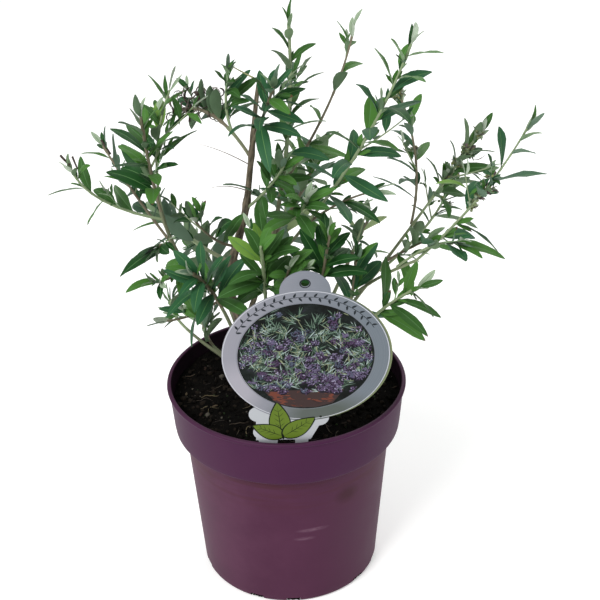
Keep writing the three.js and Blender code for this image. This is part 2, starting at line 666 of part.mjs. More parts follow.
// One foliage mass: the upper part of a shoot with its leaves, its tuft and its side twigs.
class Mass {
  constructor(shoot, limbs, neighbours) {
    this.shoot = shoot;
    this.random = new Random(shoot.seed);
    this.leaves = [];
    this.twigs = [];
    this.own = [];
    this.obstacles = [...limbs.filter((piece) => piece.owner !== `mass ${shoot.name}`),
      ...neighbours];
    this.grow();
  }

  grow() {
    const { curve, bare, leaves, leaf, twigs, radii } = this.shoot;
    const first = bare + (bare > 0 ? RULE.firstOnBough : RULE.firstOnLimb);
    const turn = this.random.between(0, 2 * Math.PI);
    this.dress(curve, first, RULE.last, leaves, leaf, turn);
    this.tuft(curve, TUFT.size * leaf, TUFT.leaves);
    for (let i = 0; i < twigs; i++) {
      const share = (TWIG.share * (i + this.random.between(...TWIG.stagger))) / twigs;
      this.twig(lerp(first, TWIG.last, share), leaf, radii[1]);
    }
  }

  // Alternate leaves along a stretch of a stem.
  dress(curve, from, to, count, length, firstTurn) {
    let turn = firstTurn;
    for (let i = 0; i < count; i++) {
      const u = (i + this.random.between(...RULE.stagger)) / count;
      const t = lerp(from, to, u);
      turn += RULE.turn + this.random.between(-RULE.turnJitter, RULE.turnJitter);
      const jitter = this.random.between(-RULE.spreadJitter, RULE.spreadJitter);
      const spread = lerp(RULE.spreadFoot, RULE.spreadTip, u) + jitter;
      const size = length * (1 - RULE.shrink * u * u) * this.random.between(...RULE.size);
      const droop = this.random.between(0, RULE.droop);
      const twist = this.random.between(-RULE.twist, RULE.twist);
      this.leaf(curve.getPoint(t), curve.getTangent(t), turn, spread, size, droop, twist, true);
    }
  }

  // Small upright leaves round the tip of a stem.
  tuft(curve, length, count) {
    const direction = curve.getTangent(1);
    const stemLength = curve.getLength();
    let turn = this.random.between(0, 2 * Math.PI);
    for (let i = 0; i < count; i++) {
      turn += RULE.turn + this.random.between(-TUFT.turnJitter, TUFT.turnJitter);
      const size = length * (TUFT.first - TUFT.step * i) * this.random.between(...TUFT.range);
      const droop = this.random.between(-TUFT.droop, TUFT.droop);
      const twist = this.random.between(-TUFT.twist, TUFT.twist);
      const root = curve.getPoint(1 - (TUFT.inset + TUFT.pitch * i) / stemLength);
      const spread = TUFT.spread + TUFT.spreadStep * i;
      this.leaf(root, direction, turn, spread, size, droop, twist, false);
    }
  }

  twig(at, leafLength, radius) {
    const { curve } = this.shoot;
    let turn = this.random.between(0, 2 * Math.PI);
    const spread = this.random.between(...TWIG.spread);
    const length = this.random.between(...TWIG.length);
    const [root, stemDirection] = [curve.getPoint(at), curve.getTangent(at)];
    for (let i = 0; i < RULE.tries; i++) {
      const aimed = aim(stemDirection, turn, spread);
      const direction = along(aimed, UP, TWIG.lift).normalize();
      const middle = along(root, direction, length / 2);
      const tip = along(root, direction, length).addScaledVector(UP, TWIG.tipLift * length);
      const runs = [[along(root, direction, RULE.stalkFree), middle], [middle, tip]];
      const fits = inSpace(tip) && isClear(runs, radius, this.obstacles);
      if (fits && isClear(runs, radius, this.own)) {
        const twigCurve = new THREE.QuadraticBezierCurve3(root, middle, tip);
        this.twigs.push({ curve: twigCurve, radius });
        this.own.push(...twigPieces(this.shoot.name, twigCurve, radius));
        const firstTurn = this.random.between(0, 2 * Math.PI);
        const [from, to] = TWIG.leafy;
        this.dress(twigCurve, from, to, TWIG.leaves, TWIG.leafSize * leafLength, firstTurn);
        this.tuft(twigCurve, TWIG.tuftSize * leafLength, TWIG.tuftLeaves);
        return;
      }
      turn += RULE.turn / 2;
    }
  }

  // A leaf that would touch another node is turned round its stem, and left out in the end.
  // With `apart` it keeps off the mass's own leaves and twigs too.
  leaf(root, stemDirection, firstTurn, spread, length, droop, twist, apart) {
    let turn = firstTurn;
    for (let i = 0; i < RULE.tries; i++) {
      const direction = aim(stemDirection, turn, spread);
      const leaf = new Leaf(root, stemDirection, direction, length, droop, twist);
      const stalkEnd = along(root, direction, RULE.stalkFree);
      const runs = [[stalkEnd, leaf.middle], [leaf.middle, leaf.tip]];
      const fits = inSpace(leaf.middle) && inSpace(leaf.tip)
        && isClear(runs, leaf.halfWidth, this.obstacles);
      if (fits && (!apart || isClear(runs, leaf.halfWidth / 2, this.own))) {
        this.leaves.push(leaf);
        this.own.push(...leafPieces(this.shoot.name, leaf, leaf.halfWidth / 2));
        return;
      }
      turn += RULE.turn / 2;
    }
  }

  // The straight pieces that later masses keep clear of.
  pieces() {
    const { name } = this.shoot;
    return [
      ...this.leaves.flatMap((leaf) => leafPieces(name, leaf, leaf.halfWidth)),
      ...this.twigs.flatMap(({ curve, radius }) => twigPieces(name, curve, radius)),
    ];
  }

  geometry() {
    const twigs = this.twigs.map(({ curve, radius }) =>
      limb(curve, 0, 1, () => radius, STEM_SIDES, TWIG.steps, curve.getTangent(0)));
    const leaves = this.leaves.map((leaf) => leaf.geometry());
    return toGeometry(join([this.shoot.stem(), ...twigs, ...leaves]));
  }
}

// A direction at an angle from a stem, turned round it.
function aim(stemDirection, turn, spread) {
  const u = across(stemDirection);
  const v = stemDirection.clone().cross(u);
  const arm = u.multiplyScalar(Math.cos(turn)).addScaledVector(v, Math.sin(turn));
  return stemDirection.clone().multiplyScalar(Math.cos(spread))
    .addScaledVector(arm, Math.sin(spread)).normalize();
}

// ---------------------------------------------------------------- the whole plant

const MATERIALS = {
  pot: new THREE.MeshStandardMaterial({ color: 0x5d3a58, roughness: 0.6, metalness: 0 }),
  soil: new THREE.MeshStandardMaterial({ color: 0x2a211c, roughness: 1, metalness: 0 }),
  tag: new THREE.MeshStandardMaterial({ color: 0xb9bcc6, roughness: 0.4, metalness: 0 }),
  bark: new THREE.MeshStandardMaterial({ color: 0x6b5a48, roughness: 0.9, metalness: 0 }),
  foliage: new THREE.MeshStandardMaterial({ color: 0x3c7a4c, roughness: 0.7, metalness: 0 }),
};

const whole = new THREE.Group();

function place(name, geometry, material) {
  const mesh = new THREE.Mesh(geometry, material);
  mesh.name = name;
  whole.add(mesh);
}

place("pot", pot(), MATERIALS.pot);
place("soil", soil(), MATERIALS.soil);
place("tag", tag(), MATERIALS.tag);

const trunk = new Trunk();
place("trunk", trunk.geometry(), MATERIALS.bark);

const limbs = new Map([["trunk", trunk]]);
const limbPieces = pieces("trunk", trunk, 0, 1, TEST_PIECES.trunk);
for (const spec of SHOOTS) {
  const shoot = new Shoot(spec, limbs.get(spec.from));
  limbs.set(spec.name, shoot);
  if (spec.bare > 0) {
    place(`bough_${spec.name}`, shoot.bough(), MATERIALS.bark);
    limbPieces.push(...pieces(`bough ${spec.name}`, shoot, 0, spec.bare, TEST_PIECES.bough));
  }
  if (spec.bare < 1) {
    limbPieces.push(...pieces(`mass ${spec.name}`, shoot, spec.bare, 1, TEST_PIECES.mass));
  }
}

const grown = [];
for (const spec of SHOOTS.filter(({ bare }) => bare < 1)) {
  const mass = new Mass(limbs.get(spec.name), limbPieces, grown);
  grown.push(...mass.pieces());
  place(`foliage_${spec.name}`, mass.geometry(), MATERIALS.foliage);
}

export default whole;
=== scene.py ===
"""A young butterfly bush in a purple nursery pot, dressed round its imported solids.

Sizes are millimetres and become metres where a mesh is made. +Z is up and the tag faces -Y. The
shoots, twigs and leaves grow by the same seeded rule as the solids, so each mass stays where its
solid is, and finer shoots, small leaves and buds are added within its reach.
"""

import json
import logging
import math
from dataclasses import dataclass, field
from enum import Enum
from functools import partial
from typing import Callable, Iterable, Optional, Sequence

import bmesh
import bpy
import numpy as np
from mathutils import Matrix, Vector, noise

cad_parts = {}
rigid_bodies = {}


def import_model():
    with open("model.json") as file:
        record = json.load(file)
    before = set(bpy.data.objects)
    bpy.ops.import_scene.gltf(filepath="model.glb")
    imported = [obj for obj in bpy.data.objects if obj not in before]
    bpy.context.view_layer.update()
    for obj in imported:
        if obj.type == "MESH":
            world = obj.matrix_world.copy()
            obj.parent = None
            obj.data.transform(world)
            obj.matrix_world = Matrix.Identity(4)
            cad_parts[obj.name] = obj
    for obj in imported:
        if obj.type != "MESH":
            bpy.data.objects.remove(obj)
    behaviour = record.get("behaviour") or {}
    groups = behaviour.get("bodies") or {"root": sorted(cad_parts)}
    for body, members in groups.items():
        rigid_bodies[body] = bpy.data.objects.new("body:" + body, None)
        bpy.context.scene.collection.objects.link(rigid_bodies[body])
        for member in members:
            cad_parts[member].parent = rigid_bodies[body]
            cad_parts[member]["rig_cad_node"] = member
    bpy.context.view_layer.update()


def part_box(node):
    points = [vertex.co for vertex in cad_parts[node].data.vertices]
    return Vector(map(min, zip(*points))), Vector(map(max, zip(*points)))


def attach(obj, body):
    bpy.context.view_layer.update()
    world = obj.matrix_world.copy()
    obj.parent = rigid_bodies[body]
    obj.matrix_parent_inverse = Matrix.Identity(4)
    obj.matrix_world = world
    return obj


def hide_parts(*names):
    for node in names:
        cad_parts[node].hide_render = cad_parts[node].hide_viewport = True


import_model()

MM = 0.001
CLEAR = 0.3
UP = np.array([0.0, 0.0, 1.0])
EAST = np.array([1.0, 0.0, 0.0])
TURN = math.radians(137.5)
FULL = 2 * math.pi
ROOT = "root"
Piece = bpy.types.Object
Shape = bmesh.types.BMesh
Socket = bpy.types.NodeSocket
Vec = np.ndarray

log = logging.getLogger("butterfly_bush")


# ---------- small helpers


def unit(v: Vec) -> Vec:
    """Returns a vector made one long."""
    return v / math.sqrt(v @ v)


def lerp(a: float, b: float, t: float) -> float:
    """Returns the value a share t of the way from a to b."""
    return (1 - t) * a + t * b


def across(direction: Vec) -> Vec:
    """Returns a unit vector square to a direction."""
    steep = 0.9
    return unit(np.cross(direction, EAST if abs(direction[2]) > steep else UP))


def aim(direction: Vec, turn: float, spread: float) -> Vec:
    """Points away from a stem.

    Args:
        direction: the stem's own direction.
        turn: angle round the stem.
        spread: angle from the stem.

    Returns:
        A unit vector.
    """
    u = across(direction)
    v = np.cross(direction, u)
    arm = u * math.cos(turn) + v * math.sin(turn)
    return unit(direction * math.cos(spread) + arm * math.sin(spread))


class Random:
    """The linear congruential generator that the solids use."""

    factor, step, size = 1664525, 1013904223, 2**32
    seed_factor, seed_step, warm_up = 7919, 12345, 3

    def __init__(self, seed: int) -> None:
        """Starts the generator.

        Args:
            seed: sets its numbers apart.
        """
        self.state = (seed * self.seed_factor + self.seed_step) % self.size
        for _ in range(self.warm_up):
            self.next()

    def next(self) -> float:
        """Returns the next number from 0 to 1."""
        self.state = (self.state * self.factor + self.step) % self.size
        return self.state / self.size

    def between(self, low: float, high: float) -> float:
        """Returns the next number from low to high."""
        return low + (high - low) * self.next()

    def disc(self, reach: float) -> tuple:
        """Returns a place within a radius of the middle."""
        radius, angle = reach * math.sqrt(self.next()), self.between(0, FULL)
        return radius * math.cos(angle), radius * math.sin(angle)

    def pick(self, options: Sequence) -> object:
        """Returns one of the options."""
        return options[min(int(self.next() * len(options)), len(options) - 1)]


# ---------- curves


class Curve:
    """A curve given by its point at each share of its length."""

    def point(self, t: float) -> Vec:
        """Returns the point at a share t."""
        raise NotImplementedError

    def line(self, count: int, start: float = 0.0) -> Vec:
        """Returns a number of points from a share of the curve to its tip."""
        return np.array([self.point(t) for t in np.linspace(start, 1, count)])

    def tangent(self, t: float) -> Vec:
        """Returns the unit direction at a share t."""
        step = 1e-4
        return unit(self.point(min(1.0, t + step)) - self.point(max(0.0, t - step)))

    def length(self, chords: int = 200) -> float:
        """Returns the curve's length, measured along a number of chords."""
        points = np.array([self.point(i / chords) for i in range(chords + 1)])
        return float(np.sqrt(((points[1:] - points[:-1]) ** 2).sum(1)).sum())


class Bend(Curve):
    """A curve from its foot to its tip, bent towards an elbow."""

    def __init__(self, foot: Sequence, elbow: Sequence, tip: Sequence) -> None:
        """Takes the three points of the bend."""
        self.foot, self.elbow, self.tip = (np.array(p, float) for p in (foot, elbow, tip))

    def point(self, t: float) -> Vec:
        """Returns the point at a share t."""
        s = 1 - t
        return s * s * self.foot + 2 * s * t * self.elbow + t * t * self.tip


class Path(Curve):
    """A smooth curve through a few points, the Catmull-Rom way."""

    def __init__(self, points: Sequence) -> None:
        """Takes the points, from the foot to the tip."""
        self.points = np.array(points, float)

    def point(self, t: float) -> Vec:
        """Finds a point of the curve.

        Args:
            t: the share of the curve.

        Returns:
            The point there.
        """
        points = self.points
        last = len(points) - 1
        x = last * t
        i = min(int(math.floor(x)), last - 1)
        w = x - i
        p1, p2 = points[i], points[i + 1]
        p0 = points[i - 1] if i > 0 else 2 * p1 - p2
        p3 = points[i + 2] if i + 2 <= last else 2 * p2 - p1
        v0, v1 = (p2 - p0) / 2, (p3 - p1) / 2
        cubic, square = 2 * p1 - 2 * p2 + v0 + v1, 3 * p2 - 3 * p1 - 2 * v0 - v1
        return cubic * w**3 + square * w * w + v0 * w + p1


# ---------- meshes


def to_piece(mesh: bpy.types.Mesh, crease: float, finishes: Sequence) -> Piece:
    """Paints and shades a mesh and puts it in the scene.

    Args:
        mesh: the mesh, whose name the piece takes.
        crease: edges sharper than this many degrees stay sharp.
        finishes: the finish of each material slot.

    Returns:
        The new piece.
    """
    for finish in finishes:
        mesh.materials.append(finish.material())
    mesh.shade_smooth()
    mesh.set_sharp_from_angle(angle=math.radians(crease))
    piece = bpy.data.objects.new(mesh.name, mesh)
    bpy.context.scene.collection.objects.link(piece)
    return piece


def from_bmesh(bm: Shape, name: str, crease: float = 35, *finishes: "Finish") -> Piece:
    """Turns a bmesh in millimetres into a piece in metres, and frees it.

    Args:
        bm: the bmesh.
        name: the piece's name.
        crease: edges sharper than this many degrees stay sharp.
        finishes: the finish of each material slot.

    Returns:
        The new piece, smooth shaded.
    """
    bmesh.ops.recalc_face_normals(bm, faces=bm.faces)
    bmesh.ops.scale(bm, vec=(MM, MM, MM), verts=bm.verts)
    mesh = bpy.data.meshes.new(name)
    bm.to_mesh(mesh)
    bm.free()
    return to_piece(mesh, crease, finishes)


def settle(piece: Piece, slot: str, *nodes: str) -> Piece:
    """Attaches a piece to the root body and hides the solids it stands for.

    Args:
        piece: the piece.
        slot: the record's material slot; not used.
        nodes: the solids it stands for.

    Returns:
        The same piece.
    """
    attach(piece, ROOT)
    if nodes:
        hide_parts(*nodes)
    return piece


def spun(outline: Sequence, steps: int) -> Shape:
    """Turns an outline once round the Z axis.

    Args:
        outline: its (radius, height) points, from the axis back to the axis.
        steps: how many steps the turn has.

    Returns:
        The closed shape.
    """
    bm = bmesh.new()
    chain = [bm.verts.new((r, 0, z)) for r, z in outline]
    edges = [bm.edges.new(pair) for pair in zip(chain, chain[1:])]
    bmesh.ops.spin(bm, geom=chain + edges, cent=(0, 0, 0), axis=(0, 0, 1), angle=FULL, steps=steps,
                   use_merge=True, use_duplicate=False)
    bmesh.ops.remove_doubles(bm, verts=bm.verts, dist=0.01)
    return bm


def soften(bm: Shape, edges: Sequence, width: float) -> None:
    """Rounds edges with a small bevel of two segments."""
    bmesh.ops.bevel(bm, geom=edges, offset=width, segments=2, profile=0.5, affect="EDGES",
                    material=-1)


def boolean(piece: Piece, tool: Piece, operation: str) -> None:
    """Cuts a piece by a tool, or joins the tool to it.

    Args:
        piece: the piece.
        tool: the other one, which is removed.
        operation: the modifier's operation.
    """
    modifier = piece.modifiers.new("carve", "BOOLEAN")
    modifier.operation = operation
    modifier.solver = "EXACT"
    modifier.material_mode = "TRANSFER"
    modifier.object = tool
    graph = bpy.context.evaluated_depsgraph_get()
    mesh = bpy.data.meshes.new_from_object(piece.evaluated_get(graph))
    piece.modifiers.clear()
    piece.data = mesh
    bpy.data.objects.remove(tool)


@dataclass
class Joined:
    """Many small closed shapes gathered from arrays into one mesh, in millimetres."""

    points: list = field(default_factory=list)
    faces: list = field(default_factory=list)
    slots: list = field(default_factory=list)
    uvs: list = field(default_factory=list)
    count: int = 0

    def add(self, points: Vec, faces: Sequence, uvs: Vec, slots: object) -> None:
        """Adds one shape.

        Args:
            points: its points.
            faces: its faces, as indices into the points.
            uvs: a pattern place for each point.
            slots: the material slot of all its faces, or one for each.
        """
        self.points.append(points)
        self.faces.extend(tuple(i + self.count for i in face) for face in faces)
        self.slots.extend([slots] * len(faces) if isinstance(slots, int) else slots)
        self.uvs.append(uvs)
        self.count += len(points)

    def piece(self, name: str, slot: str, crease: float, finishes: Sequence, *nodes: str) -> Piece:
        """Makes the mesh and its piece.

        Args:
            name: the piece's name.
            slot: the record's material slot.
            crease: edges sharper than this many degrees stay sharp.
            finishes: the finish of each slot.
            nodes: the solids it stands for.

        Returns:
            The new piece.
        """
        mesh = bpy.data.meshes.new(name)
        mesh.from_pydata(np.concatenate(self.points) * MM, [], self.faces)
        mesh.polygons.foreach_set("material_index", self.slots)
        corners = np.empty(len(mesh.loops), np.int32)
        mesh.loops.foreach_get("vertex_index", corners)
        layer = mesh.uv_layers.new(name="pattern")
        layer.data.foreach_set("uv", np.concatenate(self.uvs)[corners].ravel())
        return settle(to_piece(mesh, crease, finishes), slot, *nodes)


def strips(rings: int, sides: int) -> list:
    """Returns the four-sided faces between rings of points that run one after another."""
    return [(i * sides + j, i * sides + k, (i + 1) * sides + k, (i + 1) * sides + j)
            for i in range(rings - 1) for j, k in zip(range(sides), [*range(1, sides), 0])]


def tube(points: Vec, radii: Vec, sides: int, flat: float = 1.0) -> tuple:
    """Sweeps a round section along points.

    Args:
        points: the middle line.
        radii: the radius at each point.
        sides: how many sides the section has.
        flat: how thick the section is, of its width.

    Returns:
        The points, faces and pattern places of a closed tube.
    """
    tangents = np.gradient(points, axis=0)
    u = across(unit(tangents[0]))
    angles = FULL * np.arange(sides) / sides
    rings, uvs, run = [], [], 0.0
    for i, (point, tangent, radius) in enumerate(zip(points, tangents, radii)):
        t = unit(tangent)
        u = unit(u - t * (u @ t))
        v = np.cross(t, u)
        ring = np.outer(np.cos(angles), u) + flat * np.outer(np.sin(angles), v)
        rings.append(point + radius * ring)
        run += float(np.linalg.norm(point - points[i - 1])) if i else 0.0
        uvs.append(np.stack([angles / FULL, np.full(sides, run * MM)], 1))
    last = (len(points) - 1) * sides
    faces = [*strips(len(points), sides), tuple(reversed(range(sides))),
             tuple(range(last, last + sides))]
    return np.concatenate(rings), faces, np.concatenate(uvs)


# ---------- finishes


def linear(code: str) -> tuple:
    """Turns an sRGB hex colour such as "#2f6b45" into linear red, green, blue and alpha."""
    shares = [int(code[i:i + 2], 16) / 255 for i in (1, 3, 5)]
    return (*(c / 12.92 if c <= 0.04045 else ((c + 0.055) / 1.055) ** 2.4 for c in shares), 1.0)


def per_mm(size: float) -> float:
    """Returns the texture scale whose features are about this many millimetres across."""
    return 1 / (size * MM)


def add_node(tree: bpy.types.NodeTree, kind: str, sockets: object = (), stops: Sequence = (),
             **settings) -> bpy.types.Node:
    """Adds a node with its settings, constants and links.

    Args:
        tree: the node tree.
        kind: the node's type, without the ShaderNode in front.
        sockets: the inputs' values, in their order or by name or number. A value is a constant, a
            hex colour, an output, or a node, which stands for its first output in use.
        stops: (place, hex colour) pairs of a colour ramp.
        settings: the node's own properties.

    Returns:
        The new node.
    """
    node = tree.nodes.new("ShaderNode" + kind)
    for name, value in settings.items():
        setattr(node, name, value)
    for key, value in sockets.items() if isinstance(sockets, dict) else enumerate(sockets):
        if isinstance(value, bpy.types.Node):
            value = next(output for output in value.outputs if output.enabled)
        if isinstance(value, Socket):
            tree.links.new(value, node.inputs[key])
        else:
            node.inputs[key].default_value = linear(value) if isinstance(value, str) else value
    if stops:
        elements = node.color_ramp.elements
        while len(elements) < len(stops):
            elements.new(0.5)
        for element, (place, code) in zip(elements, stops):
            element.position = place
            element.color = linear(code)
    return node


@dataclass(frozen=True)
class Mark:
    """A spot on a surface: its middle and its reach along each axis, in millimetres."""

    middle: tuple
    reach: tuple

    def mask(self, add: Callable, place: Socket) -> bpy.types.Node:
        """Returns a node that is 1 in the spot and fades to 0 at its reach."""
        local = add("Mapping", {"Vector": place, "Location": Vector(self.middle) * MM,
                                "Scale": Vector(self.reach) * MM}, vector_type="TEXTURE")
        return add("MapRange", (add("VectorMath", (local,), operation="LENGTH"), 1.0, 0.35))


class Finish:
    """A surface finish that makes its material once."""

    def material(self) -> bpy.types.Material:
        """Gives the finish's material.

        Returns:
            The material, made on first use.
        """
        made = bpy.data.materials.get(self.name)
        if made:
            return made
        made = bpy.data.materials.new(self.name)
        made.use_nodes = True
        made.diffuse_color = linear(self.colour)
        made.node_tree.nodes.clear()
        add = partial(add_node, made.node_tree)
        add("OutputMaterial", (add("BsdfPrincipled", self.shader(add, self.place(add))),))
        return made

    def place(self, add: Callable) -> Socket:
        """Returns the output that patterns follow: the piece's own coordinates."""
        return add("TexCoord").outputs["Object"]

    def shader(self, add: Callable, place: Socket) -> dict:
        """Returns the shader's inputs, from a function that adds nodes and the patterns' place."""
        raise NotImplementedError

    def coated(self, add: Callable, body: object, coats: Sequence) -> bpy.types.Node:
        """Lays coats of colour over a body colour.

        Args:
            add: adds a node.
            body: the body colour.
            coats: (shares, colour) pairs; the shares of a coat are multiplied.

        Returns:
            The node that gives the coated colour.
        """
        for shares, colour in coats:
            share = shares[0]
            for factor in shares[1:]:
                share = add("Math", (share, factor), operation="MULTIPLY")
            body = add("Mix", {0: share, 6: body, 7: colour}, data_type="RGBA")
        return body


@dataclass(frozen=True)
class MouldedPolypropylene(Finish):
    """Injection-moulded recycled polypropylene of a nursery pot.

    The mould leaves a fine even tooth and a low sheen. Handling leaves dust on the wall, faint
    level bands where pots rub in a stack, a dark smudge and a few short pale scuffs. The dust is
    laid on more to the left, where it is also painted light. The lip's top is lightened as a
    painted highlight, and the inside above the soil is darkened near-black as painted shade, with
    some peat silt.
    """

    name: str = "moulded_polypropylene"
    colour: str = "#431c35"
    collar: str = "#3a1234"
    dust_and_light: str = "#603a50"
    band: str = "#421c22"
    stain: str = "#33101a"
    scuff: str = "#7a5c6d"
    lip_highlight: str = "#4b3143"
    silt_and_shade: str = "#150c12"
    collar_foot: float = 117.0
    lip: float = 151.8
    inside: float = 82.25
    soil_line: float = 137.0
    tooth: float = 0.5
    scuffs: tuple = (Mark((16.0, -69.0, 69.0), (14.0, 9.0, 2.2)),
                     Mark((10.0, -69.0, 61.5), (9.0, 9.0, 1.9)),
                     Mark((58.0, -45.0, 61.0), (1.2, 4.0, 1.0)),
                     Mark((-40.0, 60.0, 45.0), (9.0, 9.0, 1.5)),
                     Mark((-62.0, 20.0, 80.0), (5.0, 12.0, 1.2)))
    smudge: Mark = Mark((39.0, -58.0, 93.0), (12.0, 12.0, 9.0))

    def shader(self, add: Callable, place: Socket) -> dict:
        """Lays out the finish's pattern.

        Args:
            add: adds a node.
            place: the output that patterns follow.

        Returns:
            The shader's inputs.
        """
        split = add("SeparateXYZ", (place,))
        height = split.outputs["Z"]
        level = add("Mapping", {"Vector": place, "Scale": (1.0, 1.0, 12.0)})
        streak = add("Mapping", {"Vector": place, "Scale": (1.0, 1.0, 6.0)})
        cloud, bands, rub, fine = (
            add("TexNoise", {"Vector": vector, "Scale": per_mm(size), "Detail": detail,
                             "Roughness": rough})
            for vector, size, detail, rough in (
                (place, 34, 5.0, 0.65), (level, 60, 4.0, 0.6), (streak, 5, 4.0, 0.5),
                (place, self.tooth, 2.0, 0.5)))
        wall = add("MapRange", (height, self.collar_foot * MM, (self.collar_foot - 1) * MM))
        # Dust lies low on the wall and hardly on the collar; it is laid on more to the left, where
        # it is also painted light.
        dusty_and_lit = (add("MapRange", (cloud, 0.35, 0.7, 0.08, 0.5)),
                 add("MapRange", (split, 0.02, -0.06, 0.25, 1.0)),
                 add("MapRange", (wall, 0.0, 1.0, 0.35, 1.0)))
        banded = (add("MapRange", (bands, 0.46, 0.64)),
                  add("MapRange", (height, 0.08, 0.112, 0.0, 0.7)), wall)
        rubbed = add("MapRange", (rub, 0.3, 0.65, 0.1, 0.5))
        flat = add("VectorMath", (place, (1.0, 1.0, 0.0)), operation="MULTIPLY")
        radius = add("VectorMath", (flat,), operation="LENGTH")
        # Above the soil the inside is darkened near-black: painted shade in the pot's hollow, with
        # some peat silt.
        silted_and_shaded = (add("MapRange", (radius, self.inside * MM, (self.inside - 0.3) * MM)),
                  add("MapRange", (height, self.soil_line * MM, (self.soil_line + 1) * MM)),
                  add("MapRange", (cloud, 0.3, 0.6, 0.78, 0.97)))
        # The lip's top is lightened towards a paler purple: a painted highlight along the rim.
        lip = add("MapRange", (height, self.lip * MM, (self.lip + 1) * MM, 0.0, 0.45))
        coats = [((wall,), self.colour), (dusty_and_lit, self.dust_and_light), (banded, self.band),
                 ((self.smudge.mask(add, place), 0.7), self.stain)]
        coats += [((mark.mask(add, place), rubbed), self.scuff) for mark in self.scuffs]
        coats += [((lip,), self.lip_highlight), (silted_and_shaded, self.silt_and_shade)]
        bump = add("Bump", {"Height": fine, "Strength": 0.25, "Distance": 0.0001})
        return {"Base Color": self.coated(add, self.collar, coats), "Normal": bump,
                "Roughness": add("MapRange", (cloud, 0.0, 1.0, 0.42, 0.66)),
                "Specular IOR Level": 0.13}


@dataclass(frozen=True)
class Peat(Finish):
    """Milled peat and bark fines: crumbly, light-drinking, near-black with browner lumps."""

    name: str = "milled_peat"
    colour: str = "#0e0c0a"
    hollow: str = "#080706"
    pale: str = "#251d16"
    grain: float = 1.1

    def shader(self, add: Callable, place: Socket) -> dict:
        """Lays out the finish's pattern.

        Args:
            add: adds a node.
            place: the output that patterns follow.

        Returns:
            The shader's inputs.
        """
        lumps = add("TexNoise", {"Vector": place, "Scale": per_mm(7), "Detail": 6.0,
                                 "Roughness": 0.75})
        grains = add("TexVoronoi", {"Vector": place, "Scale": per_mm(self.grain)})
        ramp = add("ValToRGB", (lumps,),
                   ((0.4, self.hollow), (0.6, self.colour), (0.82, self.pale)))
        bump = add("Bump", {"Height": grains, "Strength": 0.8, "Distance": 0.0008})
        return {"Base Color": ramp, "Roughness": 0.95, "Specular IOR Level": 0.05, "Normal": bump}


@dataclass(frozen=True)
class Plain(Finish):
    """A small thing of one colour whose surface has a fine grain, in millimetres."""

    name: str
    colour: str
    roughness: float = 0.8
    grain: float = 0.6
    depth: float = 0.1
    strength: float = 0.5
    detail: float = 2.0
    specular: float = 0.15

    def shader(self, add: Callable, place: Socket) -> dict:
        """Lays out the finish's pattern.

        Args:
            add: adds a node.
            place: the output that patterns follow.

        Returns:
            The shader's inputs.
        """
        grain = add("TexNoise",
                    {"Vector": place, "Scale": per_mm(self.grain), "Detail": self.detail})
        bump = add("Bump",
                   {"Height": grain, "Strength": self.strength, "Distance": self.depth * MM})
        return {"Base Color": self.colour, "Roughness": self.roughness, "Normal": bump,
                "Specular IOR Level": self.specular}


@dataclass(frozen=True)
class LitFloor(Plain):
    """White matt acrylic of a light table, lit a little from below."""

    name: str = "light_table"
    colour: str = "#fafaf8"
    roughness: float = 0.9
    grain: float = 30.0
    strength: float = 0.1
    specular: float = 0.5
    glow: float = 0.28

    def shader(self, add: Callable, place: Socket) -> dict:
        """Returns the shader's inputs, with the light from below."""
        glow = {"Emission Color": self.colour, "Emission Strength": self.glow}
        return {**super().shader(add, place), **glow}


@dataclass(frozen=True)
class Rind(Plain):
    """The smooth felted skin of this year's shoots, in one colour for each kind of shoot."""

    roughness: float = 0.7
    grain: float = 0.7
    strength: float = 0.4
    detail: float = 3.0
    specular: float = 0.5


@dataclass(frozen=True)
class SatinCard(Finish):
    """Die-cut polypropylene sheet of a plant tag, printed silver grey under a satin varnish.

    The grey runs from warm on the left to cooler and darker on the right, brushed with soft
    rings, with a painted highlight at the lower left and painted shade at the foot. The foot panel
    is left white.
    """

    name: str = "satin_printed_sheet"
    colour: str = "#83828b"
    cool: str = "#5f6870"
    brushed: str = "#9c9da4"
    bright: str = "#97949d"
    dusky: str = "#414940"
    white: str = "#a3a6aa"
    middle: tuple = (12.5, 81.4)
    radius: float = 52.7
    ring: float = 2.5
    soil_top: float = 143.0
    lean: float = 9.0
    sheen: Mark = Mark((-30.0, -85.0, 200.0), (17.0, 40.0, 25.0))
    shade: Mark = Mark((24.0, -82.0, 175.0), (42.0, 40.0, 23.0))

    def shader(self, add: Callable, place: Socket) -> dict:
        """Lays out the finish's pattern.

        Args:
            add: adds a node.
            place: the output that patterns follow.

        Returns:
            The shader's inputs.
        """
        split = add("SeparateXYZ", (place,))
        rise = self.middle[1] * math.cos(math.radians(self.lean)) + self.soil_top
        # The large scale along Y leaves the distance from the disc's middle as seen from the front.
        flat = add("Mapping", {"Vector": place, "Location": (self.middle[0] * MM, 0.0, rise * MM),
                               "Scale": (1.0, 1e6, 1.0)}, vector_type="TEXTURE")
        far = add("VectorMath", (flat,), operation="LENGTH")
        turns = add("Math", (far, per_mm(self.ring)), operation="MULTIPLY")
        rings = add("TexNoise", {"W": turns}, noise_dimensions="1D")
        below = add("MapRange", (split.outputs["Z"], (rise - 30) * MM, (rise - 31) * MM))
        past = add("MapRange", (far, self.radius * MM, (self.radius + 0.4) * MM))
        # The sheen mark lays a painted highlight at the ring's lower left, the shade mark painted
        # shade at its foot.
        coats = (((add("MapRange", (split, -0.04, 0.05)),), self.cool),
                 ((add("MapRange", (rings, 0.3, 0.8, 0.0, 0.14)),), self.brushed),
                 ((self.sheen.mask(add, place), 0.85), self.bright),
                 ((self.shade.mask(add, place), 0.85), self.dusky), ((below, past), self.white))
        wave = add("TexNoise", {"Vector": place, "Scale": per_mm(45), "Detail": 1.0})
        bump = add("Bump", {"Height": wave, "Strength": 0.3, "Distance": 0.003})
        return {"Base Color": self.coated(add, self.colour, coats), "Roughness": 0.36,
                "Specular IOR Level": 0.2, "Normal": bump}


